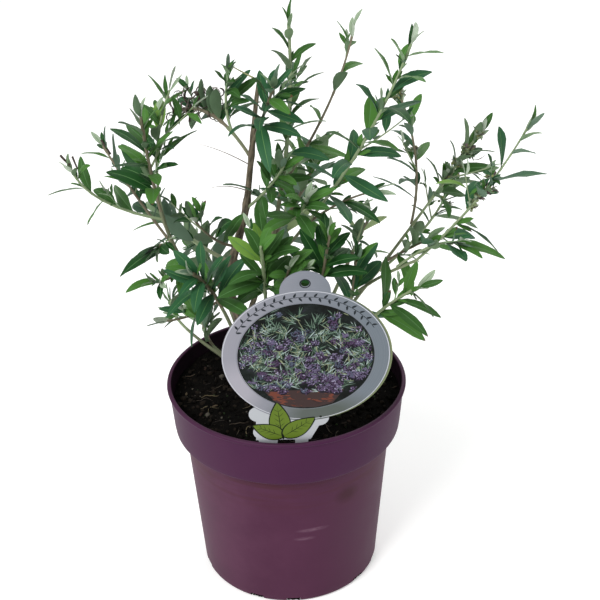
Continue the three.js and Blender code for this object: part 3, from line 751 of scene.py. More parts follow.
@dataclass(frozen=True)
class Ink(Finish):
    """A spot of printing ink under the tag's varnish, which lies a little uneven."""

    name: str
    colour: str

    def shader(self, add: Callable, place: Socket) -> dict:
        """Returns the shader's inputs."""
        wave = add("TexNoise", {"Vector": place, "Scale": per_mm(40)})
        return {"Base Color": self.colour, "Specular IOR Level": 0.08,
                "Roughness": add("MapRange", (wave, 0.0, 1.0, 0.32, 0.45))}


@dataclass(frozen=True)
class PrintedShade(Finish):
    """The dark leafy ground of the tag's picture: near-black with green and violet haze."""

    name: str = "printed_shade"
    colour: str = "#1c211f"
    stops: tuple = ((0.36, "#050706"), (0.5, "#0c1210"), (0.62, "#1a201f"), (0.75, "#2d2638"))

    def shader(self, add: Callable, place: Socket) -> dict:
        """Returns the shader's inputs."""
        haze = add("TexNoise",
                   {"Vector": place, "Scale": per_mm(9), "Detail": 6.0, "Roughness": 0.75})
        return {"Base Color": add("ValToRGB", (haze,), self.stops), "Roughness": 0.4,
                "Specular IOR Level": 0.08}


@dataclass(frozen=True)
class Bark(Finish):
    """Thin stringy bark: grey-brown ridges with darker cracks, greener on young wood.

    It reads two values of each point: "relief", the height of the ridge there, and "age", from a
    green shoot to old wood.
    """

    name: str = "stringy_bark"
    colour: str = "#605345"
    crack: str = "#30271f"
    crest: str = "#877964"
    lichen: str = "#746b5e"
    young: str = "#7d8a68"

    def shader(self, add: Callable, place: Socket) -> dict:
        """Lays out the finish's pattern.

        Args:
            add: adds a node.
            place: the output that patterns follow.

        Returns:
            The shader's inputs.
        """
        relief, age = (add("Attribute", attribute_name=name).outputs["Fac"]
                       for name in ("relief", "age"))
        patch = add("TexNoise", {"Vector": place, "Scale": per_mm(3), "Detail": 5.0})
        ridges = add("ValToRGB", (relief,),
                     ((0.2, self.crack), (0.55, self.colour), (0.9, self.crest)))
        patches = add("MapRange", (patch, 0.5, 0.7, 0.0, 0.5))
        old = self.coated(add, ridges, [((patches,), self.lichen)])
        bump = add("Bump", {"Height": patch, "Strength": 0.5, "Distance": 0.0003})
        return {"Base Color": self.coated(add, self.young, [((age,), old)]), "Roughness": 0.85,
                "Normal": bump}


@dataclass(frozen=True)
class Blade(Finish):
    """The skin of a leaf: a waxy upper side, or the felted paler underside.

    The pattern place runs along and across the leaf, so the side veins rise from the midrib.
    """

    name: str
    colour: str
    roughness: float = 0.5
    veins: float = 0.35

    def place(self, add: Callable) -> Socket:
        """Returns the output that patterns follow: the leaf's own map."""
        return add("UVMap", uv_map="pattern").outputs["UV"]

    def shader(self, add: Callable, place: Socket) -> dict:
        """Lays out the finish's pattern.

        Args:
            add: adds a node.
            place: the output that patterns follow.

        Returns:
            The shader's inputs.
        """
        vein = add("TexWave", {"Vector": place, "Scale": 2.2, "Distortion": 1.2, "Detail": 1.0},
                   bands_direction="X")
        bump = add("Bump", {"Height": vein.outputs["Fac"], "Strength": self.veins,
                            "Distance": 0.00025})
        return {"Base Color": self.colour, "Roughness": self.roughness, "Specular IOR Level": 0.22,
                "Normal": bump}


# ---------- camera, floor and light


@dataclass
class Studio:
    """The camera at a table's height, a pale floor and soft light from all round."""

    lens: float = 75.63
    sensor: float = 36.0
    place: tuple = (0.0, -760.6, 634.5)
    yaw: float = 0.0141
    pitch: float = 28.91
    roll: float = -1.08
    far: float = 50.0
    floor_size: float = 9000.0
    target: tuple = (0.0, 0.0, 180.0)
    lamps: tuple = (("key_light", (-900.0, -1200.0, 1500.0), 900.0, 30.0),
                    ("fill_light", (1300.0, -700.0, 900.0), 1100.0, 6.0),
                    ("back_light", (300.0, 1400.0, 1300.0), 1000.0, 10.0))
    air: str = "#fbfcff"
    air_light: float = 0.5

    def camera(self) -> None:
        """Adds the camera and makes it the scene's own."""
        pitch, roll = math.radians(self.pitch), math.radians(self.roll)
        ahead = Vector((math.sin(self.yaw) * math.cos(pitch), math.cos(self.yaw) * math.cos(pitch),
                        -math.sin(pitch)))
        right = Vector((math.cos(self.yaw), -math.sin(self.yaw), 0.0))
        up = right.cross(ahead)
        turned = math.cos(roll) * right + math.sin(roll) * up
        upright = math.cos(roll) * up - math.sin(roll) * right
        data = bpy.data.cameras.new("camera")
        data.lens, data.sensor_width, data.clip_end = self.lens, self.sensor, self.far
        camera = bpy.data.objects.new("camera", data)
        axes = Matrix((turned, upright, -ahead)).transposed().to_4x4()
        camera.matrix_world = Matrix.Translation(Vector(self.place) * MM) @ axes
        bpy.context.scene.collection.objects.link(camera)
        bpy.context.scene.camera = camera

    def floor(self) -> None:
        """Adds the floor."""
        bm = bmesh.new()
        bmesh.ops.create_grid(bm, x_segments=1, y_segments=1, size=self.floor_size / 2)
        from_bmesh(bm, "floor", 35, LitFloor())

    def lights(self) -> None:
        """Adds the square soft lights, which face the plant, and the light of the air."""
        for name, place, size, power in self.lamps:
            data = bpy.data.lights.new(name, "AREA")
            data.size, data.energy = size * MM, power
            lamp = bpy.data.objects.new(name, data)
            lamp.location = Vector(place) * MM
            ray = Vector(self.target) - Vector(place)
            lamp.rotation_euler = ray.to_track_quat("-Z", "Y").to_euler()
            bpy.context.scene.collection.objects.link(lamp)
        world = bpy.data.worlds.new("studio_air")
        world.use_nodes = True
        world.node_tree.nodes.clear()
        sky = add_node(world.node_tree, "Background", (self.air, self.air_light))
        add_node(world.node_tree, "OutputWorld", (sky,))
        bpy.context.scene.world = world
        bpy.context.scene.view_settings.view_transform = "Standard"

    def build(self) -> None:
        """Builds the whole studio."""
        for part in (self.camera, self.floor, self.lights):
            part()


# ---------- pot


@dataclass
class NurseryPot:
    """The round moulded pot: rolled lip, deep collar, tapering wall and notched foot ring."""

    height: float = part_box("pot")[1].z / MM
    rim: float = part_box("pot")[1].x / MM
    lip_height: float = 3.0
    lip_proud: float = 1.2
    lip_width: float = 2.2
    lip_edge: float = 0.8
    collar_height: float = 36.0
    collar_foot: float = 80.8
    collar_edge: float = 2.0
    shoulder: float = 74.0
    shoulder_drop: float = 2.7
    shoulder_round: float = 1.2
    wall_foot: float = 64.8
    corner: float = 3.0
    wall: float = 1.8
    base_lift: float = 3.0
    foot_ring: float = 5.5
    foot_slope: float = 1.5
    pad: float = 20.0
    notch_pairs: int = 5
    notch: tuple = (10.0, 12.5, 4.0)
    notch_round: float = 0.8
    notch_spread: float = 24.0
    notch_turn: float = -11.0
    drain_holes: int = 6
    drain_radius: float = 4.0
    drain_circle: float = 38.0
    segments: int = 144
    arc_steps: int = 5
    crease: float = 40.0

    def collar_z(self) -> float:
        """Returns the height of the collar's foot."""
        return self.height - self.collar_height

    def wall_radius(self, z: float) -> float:
        """Returns the outer radius of the wall at a height."""
        return lerp(self.wall_foot, self.shoulder, z / self.collar_z())

    def collar_radius(self, z: float) -> float:
        """Returns the outer radius of the collar at a height."""
        share = (z - self.collar_z()) / self.collar_height
        return lerp(self.collar_foot, self.rim - self.lip_proud, share)

    def arc(self, x: float, z: float, radius: float, start: float, end: float) -> list:
        """Returns the points of a round edge, from one angle to another in degrees."""
        turns = np.radians(np.linspace(start, end, self.arc_steps + 1))
        return [(x + radius * math.cos(turn), z + radius * math.sin(turn)) for turn in turns]

    def profile(self) -> list:
        """Draws the section's outline.

        Returns:
            Its (radius, height) points, from the pad's centre round to the inside's centre.
        """
        foot = self.wall_foot - self.corner
        ring_inner = foot - self.foot_ring
        base_top = self.base_lift + self.wall
        collar_z, top = self.collar_z(), self.height
        lip_z = top - self.lip_height
        inner_shoulder = collar_z - self.shoulder_drop
        corner, edge, bend = self.corner, self.collar_edge, self.shoulder_round
        lip_round = self.lip_height / 2
        outside, collar = self.wall_radius, self.collar_radius
        outline = [(0, 0), (self.pad, 0), (self.pad + self.foot_slope, self.base_lift),
                   (ring_inner - self.foot_slope, self.base_lift), (ring_inner, 0), (foot - 0.5, 0)]
        outline += self.arc(outside(corner) - corner, corner, corner, -80, -5)
        outline += [(outside(z), z) for z in np.linspace(8, collar_z - bend, 9)]
        outline += self.arc(self.shoulder + bend, collar_z - bend, bend, 180, 90)
        outline += self.arc(self.collar_foot - edge, collar_z + edge, edge, -85, -5)
        outline += [(collar(z), z) for z in [*np.linspace(122, lip_z - 1, 5), lip_z]]
        outline += self.arc(self.rim - lip_round, top - lip_round, lip_round, -60, 90)
        outline += self.arc(self.rim - self.lip_width, top - self.lip_edge, self.lip_edge, 100, 175)
        outline += [(collar(lip_z) - self.wall, lip_z - 1.5)]
        outline += [(collar(z) - self.wall, z) for z in (140, 130, collar_z + edge)]
        outline += [(outside(z) - self.wall, z)
                    for z in (inner_shoulder, 80, 40, base_top + corner)]
        return [*outline, (outside(base_top) - self.wall - corner, base_top), (0, base_top)]

    def notch_angles(self) -> list:
        """Returns the angle of each notch from the front, in degrees."""
        return [self.notch_turn + 360 * pair / self.notch_pairs + half * self.notch_spread
                for pair in range(self.notch_pairs) for half in (-0.5, 0.5)]

    def cutters(self) -> Piece:
        """Builds the notches through the foot ring and the drain holes.

        Returns:
            All of them as one tool.
        """
        bm = bmesh.new()
        width, depth, height = self.notch
        middle = Matrix.Translation((0, self.foot_ring / 2 + self.corner - self.wall_foot, 0))
        size = Matrix.Diagonal((width, depth, 2 * height, 1))
        for degrees in self.notch_angles():
            turn = Matrix.Rotation(math.radians(degrees), 4, "Z")
            made = bmesh.ops.create_cube(bm, matrix=turn @ middle @ size)
            edges = {e for v in made["verts"] for e in v.link_edges}
            soften(bm, [e for e in edges if min(v.co.z for v in e.verts) > 0], self.notch_round)
        for i in range(self.drain_holes):
            turn = Matrix.Rotation(FULL * i / self.drain_holes, 4, "Z")
            bmesh.ops.create_cone(bm, cap_ends=True, segments=24, radius1=self.drain_radius,
                                  radius2=self.drain_radius, depth=20,
                                  matrix=turn @ Matrix.Translation((self.drain_circle, 0, 0)))
        # The faces the cutters leave in the notches and holes take a near-black finish: painted
        # shade.
        return from_bmesh(bm, "pot_cutters", 35, Plain("peat_stained_cut", "#120b0d", 0.9))

    def build(self) -> None:
        """Builds the pot and puts it in place of its solid."""
        plastic = MouldedPolypropylene(collar_foot=self.collar_z())
        pot = from_bmesh(spun(self.profile(), self.segments), "nursery_pot", self.crease, plastic)
        boolean(pot, self.cutters(), "DIFFERENCE")
        pot.data.set_sharp_from_angle(angle=math.radians(self.crease))
        settle(pot, "pot_plastic", "pot")


# ---------- soil


@dataclass
class PottingSoil:
    """The filled inside of the pot, with a rough top and what lies on it."""

    pot: NurseryPot
    top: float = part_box("soil")[1].z / MM
    flat: float = 60.0
    edge_drop: float = 2.5
    swell: float = 2.2
    rings: int = 52
    segments: int = 132
    seed: int = 500
    crumbs: int = 2600
    chips: int = 46
    fibres: int = 64
    fines: int = 80
    crumb_size: tuple = (0.8, 4.2)
    chip_size: tuple = (2.5, 6.5)
    fibre_length: tuple = (6, 24)
    fine_size: tuple = (1.4, 2.8)
    crease: float = 60.0
    slot: str = "potting_soil"

    def surface(self, x: float, y: float) -> float:
        """Finds the height of the soil's rough top.

        Args:
            x: the place along X.
            y: the place along Y.

        Returns:
            The height there.
        """
        outer = max(0.0, math.hypot(x, y) - self.flat) / (self.pot.rim - self.flat)
        broad = noise.fractal(Vector((x, y, 0)) / 17, 1.0, 2.0, 3)
        lumps = noise.fractal(Vector((x, y, 40)) / 5, 0.9, 2.0, 3)
        return self.top - self.edge_drop * outer + self.swell * broad + 0.9 * lumps - 0.6

    def reach(self, margin: float) -> float:
        """Returns the radius of the soil's top, less a margin."""
        return self.pot.collar_radius(self.top) - self.pot.wall - margin

    def body(self) -> None:
        """Builds the plug of soil and roughens its top."""
        pot = self.pot
        inset = pot.wall + CLEAR
        base = pot.base_lift + pot.wall + CLEAR
        corner = pot.corner + 1
        edge = self.top - self.edge_drop
        shoulder = pot.collar_z() - pot.shoulder_drop
        step_top = pot.collar_z() + pot.collar_edge + 1
        rim = pot.collar_radius(edge) - inset
        outline = [(0, base), (pot.wall_radius(base) - inset - corner, base),
                   (pot.wall_radius(base + corner) - inset, base + corner),
                   (pot.wall_radius(shoulder) - inset, shoulder + 1),
                   (pot.collar_radius(step_top) - inset, step_top), (rim, edge)]
        outline += [(rim * (1 - i / self.rings), self.top) for i in range(1, self.rings + 1)]
        bm = spun(outline, self.segments)
        for vert in bm.verts:
            if vert.co.z > edge - 0.5:
                vert.co.z = self.surface(vert.co.x, vert.co.y)
        settle(from_bmesh(bm, "potting_soil", self.crease, Peat()), self.slot, "soil")

    def lump(self) -> tuple:
        """Makes a small round lump, one across.

        Returns:
            Its points and faces.
        """
        bm = bmesh.new()
        bmesh.ops.create_icosphere(bm, subdivisions=1, radius=0.5)
        points = np.array([v.co for v in bm.verts])
        faces = [tuple(v.index for v in f.verts) for f in bm.faces]
        bm.free()
        return points, faces

    def spot(self, random: Random, reach: float) -> Vec:
        """Returns a random place on the soil within a radius."""
        x, y = random.disc(reach)
        return np.array([x, y, self.surface(x, y)])

    def scatter(self) -> None:
        """Builds the crumbs, chips, grit and moss that lie on the soil, as one piece."""
        random = Random(self.seed)
        points, faces = self.lump()
        litter = Joined()
        for i in range(self.crumbs + self.chips):
            chip = i >= self.crumbs
            least, more = self.crumb_size
            size = random.between(*self.chip_size) if chip else least + more * random.next() ** 4
            stretch = np.array([1.0, 0.45, 0.25]) if chip else np.array([
                1.0, random.between(0.6, 1), random.between(0.5, 0.9)])
            rough = np.array([0.75 + 0.5 * random.next() for _ in points])[:, None]
            turn = Matrix.Rotation(random.between(0, FULL), 3, "Z") @ Matrix.Rotation(
                random.between(-0.5, 0.5), 3, "X")
            shape = (points * rough * stretch * size) @ np.array(turn).T
            place = self.spot(random, self.reach(2.5)) + np.array([0, 0, 0.12 * size])
            share = random.next()
            slot = sum(share >= limit for limit in (0.62, 0.93, 0.97))
            if chip:
                slot = random.pick((4, 1, 4, 5))
            litter.add(shape + place, faces, shape[:, :2], slot)
        finishes = [Peat(), Plain("peat_crumb", "#1b150f", 0.95),
                    Plain("moss_fleck", "#202b18", 0.9), Plain("pale_grit", "#4b463f", 0.8),
                    Plain("bark_chip", "#2b1f19", 0.9), Plain("weathered_chip", "#4b4032", 0.85)]
        litter.piece("soil_litter", self.slot, self.crease, finishes)

    def strands(self) -> None:
        """Builds the dry root curls and straw fibres on the soil, as one piece."""
        random = Random(self.seed + 1)
        joined = Joined()
        reach, steps = self.reach(8), 9
        for _ in range(self.fibres):
            place = self.spot(random, reach)
            length = random.between(*self.fibre_length)
            heading = random.between(0, FULL)
            curl = random.between(-0.35, 0.35)
            line = []
            for _ in range(steps):
                lift = 0.5 + max(0.0, 0.5 * math.sin(heading * 1.7))
                place = np.array([*place[:2], self.surface(*place[:2]) + lift])
                line.append(place)
                heading += curl + random.between(-0.3, 0.3)
                step = length / steps
                place = place + np.array([step * math.cos(heading), step * math.sin(heading), 0])
                if math.hypot(place[0], place[1]) > reach + 5:
                    heading += math.pi / 2
                    place = line[-1] + 0.3
            radius = random.between(0.14, 0.34)
            radii = radius * np.sin(np.linspace(0.35, math.pi - 0.35, steps))
            joined.add(*tube(np.array(line), radii, 5), random.pick((0, 1, 1, 2, 2)))
        finishes = [Rind("straw_fibre", "#5d523a"), Rind("root_fibre", "#3a2e22"),
                    Rind("dark_fibre", "#2a211b")]
        joined.piece("soil_fibres", self.slot, self.crease, finishes)

    def shade_notches(self) -> None:
        """Builds dark peat lumps that fill the foot ring's notches as painted shade, as one piece.
        """
        random = Random(self.seed + 2)
        points, faces = self.lump()
        joined = Joined()
        width, _, height = self.pot.notch
        for degrees in self.pot.notch_angles():
            turn = np.array(Matrix.Rotation(math.radians(degrees), 3, "Z"))
            for _ in range(self.fines):
                size = random.between(*self.fine_size)
                place = np.array([random.between(-0.5, 0.5) * (width - size),
                                  -(self.pot.wall_foot - 0.4 - size / 2 - 2.2 * random.next()),
                                  size / 2 + random.next() * (height - size)])
                rough = np.array([0.75 + 0.3 * random.next() for _ in points])[:, None]
                shape = points * rough * size
                joined.add((shape + place) @ turn.T, faces, shape[:, :2], 0)
        joined.piece("notch_fines", self.slot, self.crease, [Peat()])

    def build(self) -> None:
        """Builds the soil and what lies on it."""
        for part in (self.body, self.scatter, self.strands, self.shade_notches):
            part()


# ---------- tag


@dataclass
class PictureTag:
    """The die-cut tag: a disc with a hanging tab, a foot panel with lobes, and two prongs.

    It is drawn flat, with its height above the soil as Y and its thickness as Z, and then stood
    up and leant forward, as the solid is.
    """

    soil_top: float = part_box("soil")[1].z / MM
    lean: float = 9.0
    foot_y: float = -77.0
    thickness: float = 0.8
    centre: tuple = (12.5, 81.4)
    radius: float = 52.6
    tab_radius: float = 15.5
    tab_height: float = 132.8
    hole: tuple = (12.5, 139.3, 2.6)
    neck: tuple = ((-21, 11), (15, 11), (21, 24), (25, 40), (-20, 42))
    lobes: tuple = ((-18.5, 34, 6.5), (-16.5, 18, 6.2), (20, 30, 7))
    prongs: tuple = ((-13, 13), (9, 9))
    prong_top: float = 12.0
    prong_depth: float = 20.0
    prong_tip: float = 4.0
    picture: float = 42.8
    pointed: tuple = ((0, 0), (0.3, 0.5), (0.65, 0.42), (1, 0), (0.65, -0.42), (0.3, -0.5))
    cover_shift: tuple = (1.5, -0.9, -0.55)
    cover_thickness: float = 0.5
    bevel: float = 0.15
    crease: float = 30.0
    seed: int = 700
    sprays: int = 430
    flower_heads: int = 250
    strokes: int = 420
    garland_leaves: int = 34
    spray_length: tuple = (4.0, 10.0)
    head_reach: tuple = (1.8, 4.0)
    lowest: float = -0.66
    slot: str = "tag_plastic"

    def stand(self) -> Matrix:
        """Returns the turn and move from the flat drawing to the standing tag."""
        turn = Matrix.Rotation(math.radians(90 + self.lean), 4, "X")
        return Matrix.Translation((0, self.foot_y, self.soil_top)) @ turn

    def plate(self, outline: Sequence, low: float, high: float) -> Piece:
        """Makes a flat plate.

        Args:
            outline: its outline.
            low: the height of its underside.
            high: the height of its top.

        Returns:
            The plate.
        """
        bm = bmesh.new()
        face = bm.faces.new([bm.verts.new((x, y, low)) for x, y in outline])
        made = bmesh.ops.extrude_face_region(bm, geom=[face])
        moved = [g for g in made["geom"] if isinstance(g, bmesh.types.BMVert)]
        bmesh.ops.translate(bm, vec=(0, 0, high - low), verts=moved)
        return from_bmesh(bm, "plate")

    def circle(self, x: float, y: float, radius: float, segments: int) -> list:
        """Returns the outline of a disc."""
        turns = FULL * np.arange(segments) / segments
        return [(x + radius * math.cos(turn), y + radius * math.sin(turn)) for turn in turns]

    def level(self, edge: bmesh.types.BMEdge) -> bool:
        """Tells whether an edge lies level in the flat drawing."""
        return abs(edge.verts[0].co.z - edge.verts[1].co.z) < 0.01

    def blank(self) -> None:
        """Builds the cut sheet, with softened edges."""
        sheet = self.plate(self.circle(*self.centre, self.radius, 160), 0, self.thickness)
        outlines = [self.circle(self.centre[0], self.tab_height, self.tab_radius, 72), self.neck]
        outlines += [self.circle(*lobe, 40) for lobe in self.lobes]
        for x, width in self.prongs:
            tip, half, low = self.prong_tip / 2, width / 2, -self.prong_depth
            outlines.append([(x - tip, low), (x + tip, low), (x + half, self.prong_top),
                             (x - half, self.prong_top)])
        for outline in outlines:
            boolean(sheet, self.plate(outline, 0, self.thickness), "UNION")
        boolean(sheet, self.plate(self.circle(*self.hole, 32), -1, 2), "DIFFERENCE")
        bm = bmesh.new()
        bm.from_mesh(sheet.data)
        bpy.data.objects.remove(sheet)
        bmesh.ops.scale(bm, vec=(1 / MM, 1 / MM, 1 / MM), verts=bm.verts)
        bmesh.ops.remove_doubles(bm, verts=bm.verts, dist=0.01)
        bmesh.ops.dissolve_limit(bm, angle_limit=0.01, verts=bm.verts, edges=bm.edges)
        steep = 1.2
        rim = [e for e in bm.edges
               if len(e.link_faces) == 2 and e.calc_face_angle() > steep and self.level(e)]
        soften(bm, rim, self.bevel)
        bmesh.ops.triangulate(bm, faces=[f for f in bm.faces if len(f.verts) > 4])
        bmesh.ops.transform(bm, matrix=self.stand(), verts=bm.verts)
        settle(from_bmesh(bm, "picture_tag", self.crease, SatinCard()), self.slot, "tag")

    def cover(self) -> None:
        """Builds the second, tinted layer of sheet that shows as a thin edge behind the disc."""
        bm = bmesh.new()
        bmesh.ops.create_cone(bm, cap_ends=True, segments=128, radius1=self.radius,
                              radius2=self.radius, depth=self.cover_thickness)
        shift = Vector((*self.centre, 0)) + Vector(self.cover_shift)
        bmesh.ops.translate(bm, vec=shift, verts=bm.verts)
        soften(bm, [e for e in bm.edges if self.level(e)], 0.12)
        bmesh.ops.transform(bm, matrix=self.stand(), verts=bm.verts)
        film = Plain("tinted_sheet", "#76805c", 0.4, 8.0, 0.02)
        settle(from_bmesh(bm, "tag_cover", self.crease, film), self.slot)

    def sheet(self, joined: Joined, outline: Sequence, layer: float, slot: int) -> None:
        """Adds a flat printed area.

        Args:
            joined: what it is added to.
            outline: its outline.
            layer: how high it lies among the others, each a few thousandths of a millimetre.
            slot: its ink.
        """
        flat = np.array(outline, float)
        high = np.full(len(flat), self.thickness + 0.02 + 0.004 * layer)
        stand = np.array(self.stand())
        points = np.column_stack([flat, high]) @ stand[:3, :3].T + stand[:3, 3]
        joined.add(points, [tuple(range(len(flat)))], flat, slot)

    def petal(self, joined: Joined, x: float, y: float, size: tuple, angle: float, layer: float,
              slot: int) -> None:
        """Adds a flat pointed petal or leaf of some length and width, at an angle."""
        c, s = math.cos(angle), math.sin(angle)
        self.sheet(joined, (np.array(self.pointed) * size) @ np.array([(c, s), (-s, c)]) + (x, y),
                   layer, slot)

    def ring(self, joined: Joined, centre: tuple, radius: float, width: float, segments: int,
             slot: int) -> None:
        """Adds a thin flat ring on the sheet.

        Args:
            joined: what it is added to.
            centre: its middle.
            radius: its inner radius.
            width: its width.
            segments: how many pieces it has.
            slot: its ink.
        """
        inner, outer = (self.circle(*centre, r, segments) for r in (radius, radius + width))
        for i, k in zip(range(segments), [*range(1, segments), 0]):
            self.sheet(joined, [inner[i], outer[i], outer[k], inner[k]], 0, slot)

    def inside(self, x: float, y: float, margin: float) -> bool:
        """Tells whether a place lies in the picture, a margin off its edge."""
        return math.hypot(x - self.centre[0], y - self.centre[1]) < self.picture - margin

    def spot(self, random: Random) -> tuple:
        """Returns a random place in the picture, and its height from -1 to 1."""
        x, y = random.disc(self.picture - 0.5)
        return self.centre[0] + x, self.centre[1] + y, y / self.picture

    def printed(self, joined: Joined, name: str, *finishes: Finish) -> None:
        """Makes one piece of the print."""
        joined.piece(name, self.slot, 50, finishes)

    def ground(self) -> None:
        """Builds the picture's dark disc, its clay bowl and a painted highlight round the disc."""
        joined = Joined()
        cx, cy = self.centre
        self.sheet(joined, self.circle(cx, cy, self.picture, 120), -3, 0)
        bowl = ((-27, -27), (24, -27), (17, -38.5), (6, -42), (-8, -41.6), (-19, -38))
        self.sheet(joined, [(cx + x, cy + y) for x, y in bowl], -2, 2)
        random = Random(self.seed + 2)
        for _ in range(self.strokes):
            low, off = random.between(28, 41), random.between(-25, 22)
            length = random.between(3, 6)
            slot = 1 if random.next() < (off / 19) ** 2 else 2
            angle, layer = random.between(-0.3, 0.3), random.between(-1.9, -0.2)
            x, y = cx + off - length / 2, cy - low
            side = 25.5 - 0.65 * (low - 27) - length / 2
            if abs(off + 1.5) < side and self.inside(x, y, 0.8) and self.inside(x + length, y, 0.8):
                self.petal(joined, x, y, (length, 1.3), angle, layer, slot)
        # A pale line near the disc's edge: a painted highlight, laid as a flat ring.
        self.ring(joined, self.centre, self.radius - 0.75, 0.5, 120, 3)
        self.ring(joined, self.centre, self.picture + 0.35, 0.3, 120, 4)
        self.printed(joined, "tag_printed_ground", PrintedShade(), Ink("clay_ink", "#64362a"),
                     Ink("umber_ink", "#382a29"), Ink("bright_line_ink", "#b4b6bc"),
                     Ink("grey_line_ink", "#6d7079"))

    def leaf_print(self) -> None:
        """Builds the picture's pale crossing leaves, in fans that thin out towards the top."""
        random = Random(self.seed)
        joined = Joined()
        for _ in range(self.sprays):
            x, y, high = self.spot(random)
            side = abs(x - self.centre[0]) / self.picture
            thin = 1.05 - max(0.0, high) * (1.2 - side) - 0.8 * max(0.0, -high)
            if random.next() > thin or high < self.lowest:
                continue
            heading = random.between(0.35, 2.8)
            for _ in range(6):
                length = random.between(*self.spray_length)
                angle = heading + random.between(-0.7, 0.7)
                if self.inside(x, y, 0.5) and self.inside(
                        x + length * math.cos(angle), y + length * math.sin(angle), 0.3):
                    self.petal(joined, x, y, (length, random.between(0.35, 0.7)), angle,
                               random.between(0, 6), random.pick((0, 0, 1, 1, 2, 3)))
                x += random.between(-1.6, 1.6)
                y += random.between(-1.2, 1.2)
        self.printed(joined, "tag_printed_leaves", Ink("sage_ink", "#5b7061"),
                     Ink("fern_ink", "#24372b"), Ink("straw_ink", "#7b8267"),
                     Ink("mist_ink", "#93a3a0"))

    def flower_print(self) -> None:
        """Builds the picture's lilac flower heads, each a round cluster of small petals."""
        random = Random(self.seed + 1)
        joined = Joined()
        for _ in range(self.flower_heads):
            x, y, high = self.spot(random)
            if high > random.between(-0.3, 1.0) or high < self.lowest:
                continue
            slot = random.pick((0, 0, 1, 2, 1))
            reach = random.between(*self.head_reach)
            layer = random.between(1, 6)
            if self.inside(x, y, reach + 0.5):
                self.sheet(joined, self.circle(x, y - 0.3 * reach, 0.9 * reach, 9), layer, 4)
            for i in range(24):
                spread = reach * math.sqrt(random.next())
                px = x + spread * math.cos(TURN * i)
                py = y + 0.75 * spread * math.sin(TURN * i)
                if self.inside(px, py, 1.2):
                    shade = slot if random.next() < 0.75 else random.pick((3, 4, 1))
                    self.petal(joined, px, py, (random.between(1.0, 1.9), 0.8),
                               random.between(0, FULL), layer + random.between(0.5, 3), shade)
        self.printed(joined, "tag_printed_flowers", Ink("lilac_ink", "#5b526c"),
                     Ink("mauve_ink", "#45354e"), Ink("slate_ink", "#454c5c"),
                     Ink("pale_lilac_ink", "#8d869e"), Ink("dusk_ink", "#19151f"))

    def garland(self) -> None:
        """Builds the dark leafy garland printed on the ring's top, and the hole's eyelet."""
        joined = Joined()
        reach = (self.picture + self.radius) / 2
        for i, degrees in enumerate(np.linspace(154, 32, self.garland_leaves)):
            angle = math.radians(degrees)
            x = self.centre[0] + reach * math.cos(angle)
            y = self.centre[1] + reach * math.sin(angle)
            along = angle - math.pi / 2
            self.petal(joined, x, y, (3.6, 0.5), along, 0, 0)
            self.petal(joined, x, y, (3.9, 1.5), along + (1.05 if i % 2 else -1.05), 1, 0)
        self.ring(joined, self.hole[:2], self.hole[2] + 0.1, 0.7, 32, 0)
        self.printed(joined, "tag_garland", Ink("charcoal_ink", "#22272b"))

    def sprout_leaf(self, joined: Joined, x: float, y: float, size: tuple, degrees: float,
                    layer: float) -> None:
        """Adds an outlined leaf with a midrib and side veins.

        Args:
            joined: what it is added to.
            x: where it springs, sideways.
            y: where it springs, upwards.
            size: its length and width.
            degrees: its heading.
            layer: how high its outline lies.
        """
        length, width = size
        angle = math.radians(degrees)
        c, s = math.cos(angle), math.sin(angle)
        for grow, slot, rise in ((0.75, 1, 0.0), (0.0, 0, 1.0)):
            outline = []
            for t in np.arange(40) / 20:
                share = t if t <= 1 else 2 - t
                half = width / 2 * math.sin(math.pi * share**0.75) ** 0.9 + grow
                outline.append((share * (length + 2 * grow) - grow, half if t <= 1 else -half))
            self.sheet(joined, [(x + c * a - s * b, y + s * a + c * b) for a, b in outline],
                       layer + rise, slot)
        self.petal(joined, x, y, (0.92 * length, 0.55), angle, layer + 2, 1)
        for i in range(1, 5):
            a = length * (0.12 + 0.15 * i)
            for side in (-1, 1):
                self.petal(joined, x + c * a, y + s * a, (0.38 * width, 0.35), angle + 0.75 * side,
                           layer + 2, 1)

    def sprout(self) -> None:
        """Builds the foot panel's print: a plain sprout of broad leaves, outlined in dark green."""
        joined = Joined()
        self.sprout_leaf(joined, -4, 15, (29, 13), 95, 3)
        self.sprout_leaf(joined, -3, 14, (22, 12), 152, 6)
        self.sprout_leaf(joined, -3, 14, (26, 13), 38, 9)
        self.petal(joined, -3, 11, (5.5, 1.6), math.radians(92), 12, 1)
        self.sheet(joined, self.circle(21.5, 31, 0.9, 12), 3, 1)
        self.printed(joined, "tag_sprout", Ink("lime_ink", "#566a21"), Ink("moss_ink", "#11170c"))

    def build(self) -> None:
        """Builds the tag and its print."""
        for part in (self.blank, self.cover, self.ground, self.leaf_print, self.flower_print,
                     self.garland, self.sprout):
            part()


# ---------- limbs


@dataclass
class Trunk:
    """The old stem, from the flat cut at the soil to its dry tip."""

    path: tuple = ((-18, 14, 143.3), (-30, 13, 190), (-38.5, 12, 217), (-35, 11, 240),
                   (-25, 10, 277), (-20, 8.5, 312), (-15, 7, 355), (-12, 6, 374))
    foot: float = 4.6
    tip: float = 1.1
    taper: float = 1.15
    flare: float = 2.4
    flare_share: float = 0.06
    name: str = "trunk"

    def __post_init__(self) -> None:
        """Makes the trunk's curve."""
        self.curve = Path(self.path)

    def radius(self, t: float) -> float:
        """Returns the radius at a share of the length."""
        thin = (self.foot - self.tip) * (1 - t) ** self.taper
        return self.tip + thin + self.flare * max(0.0, 1 - t / self.flare_share) ** 2


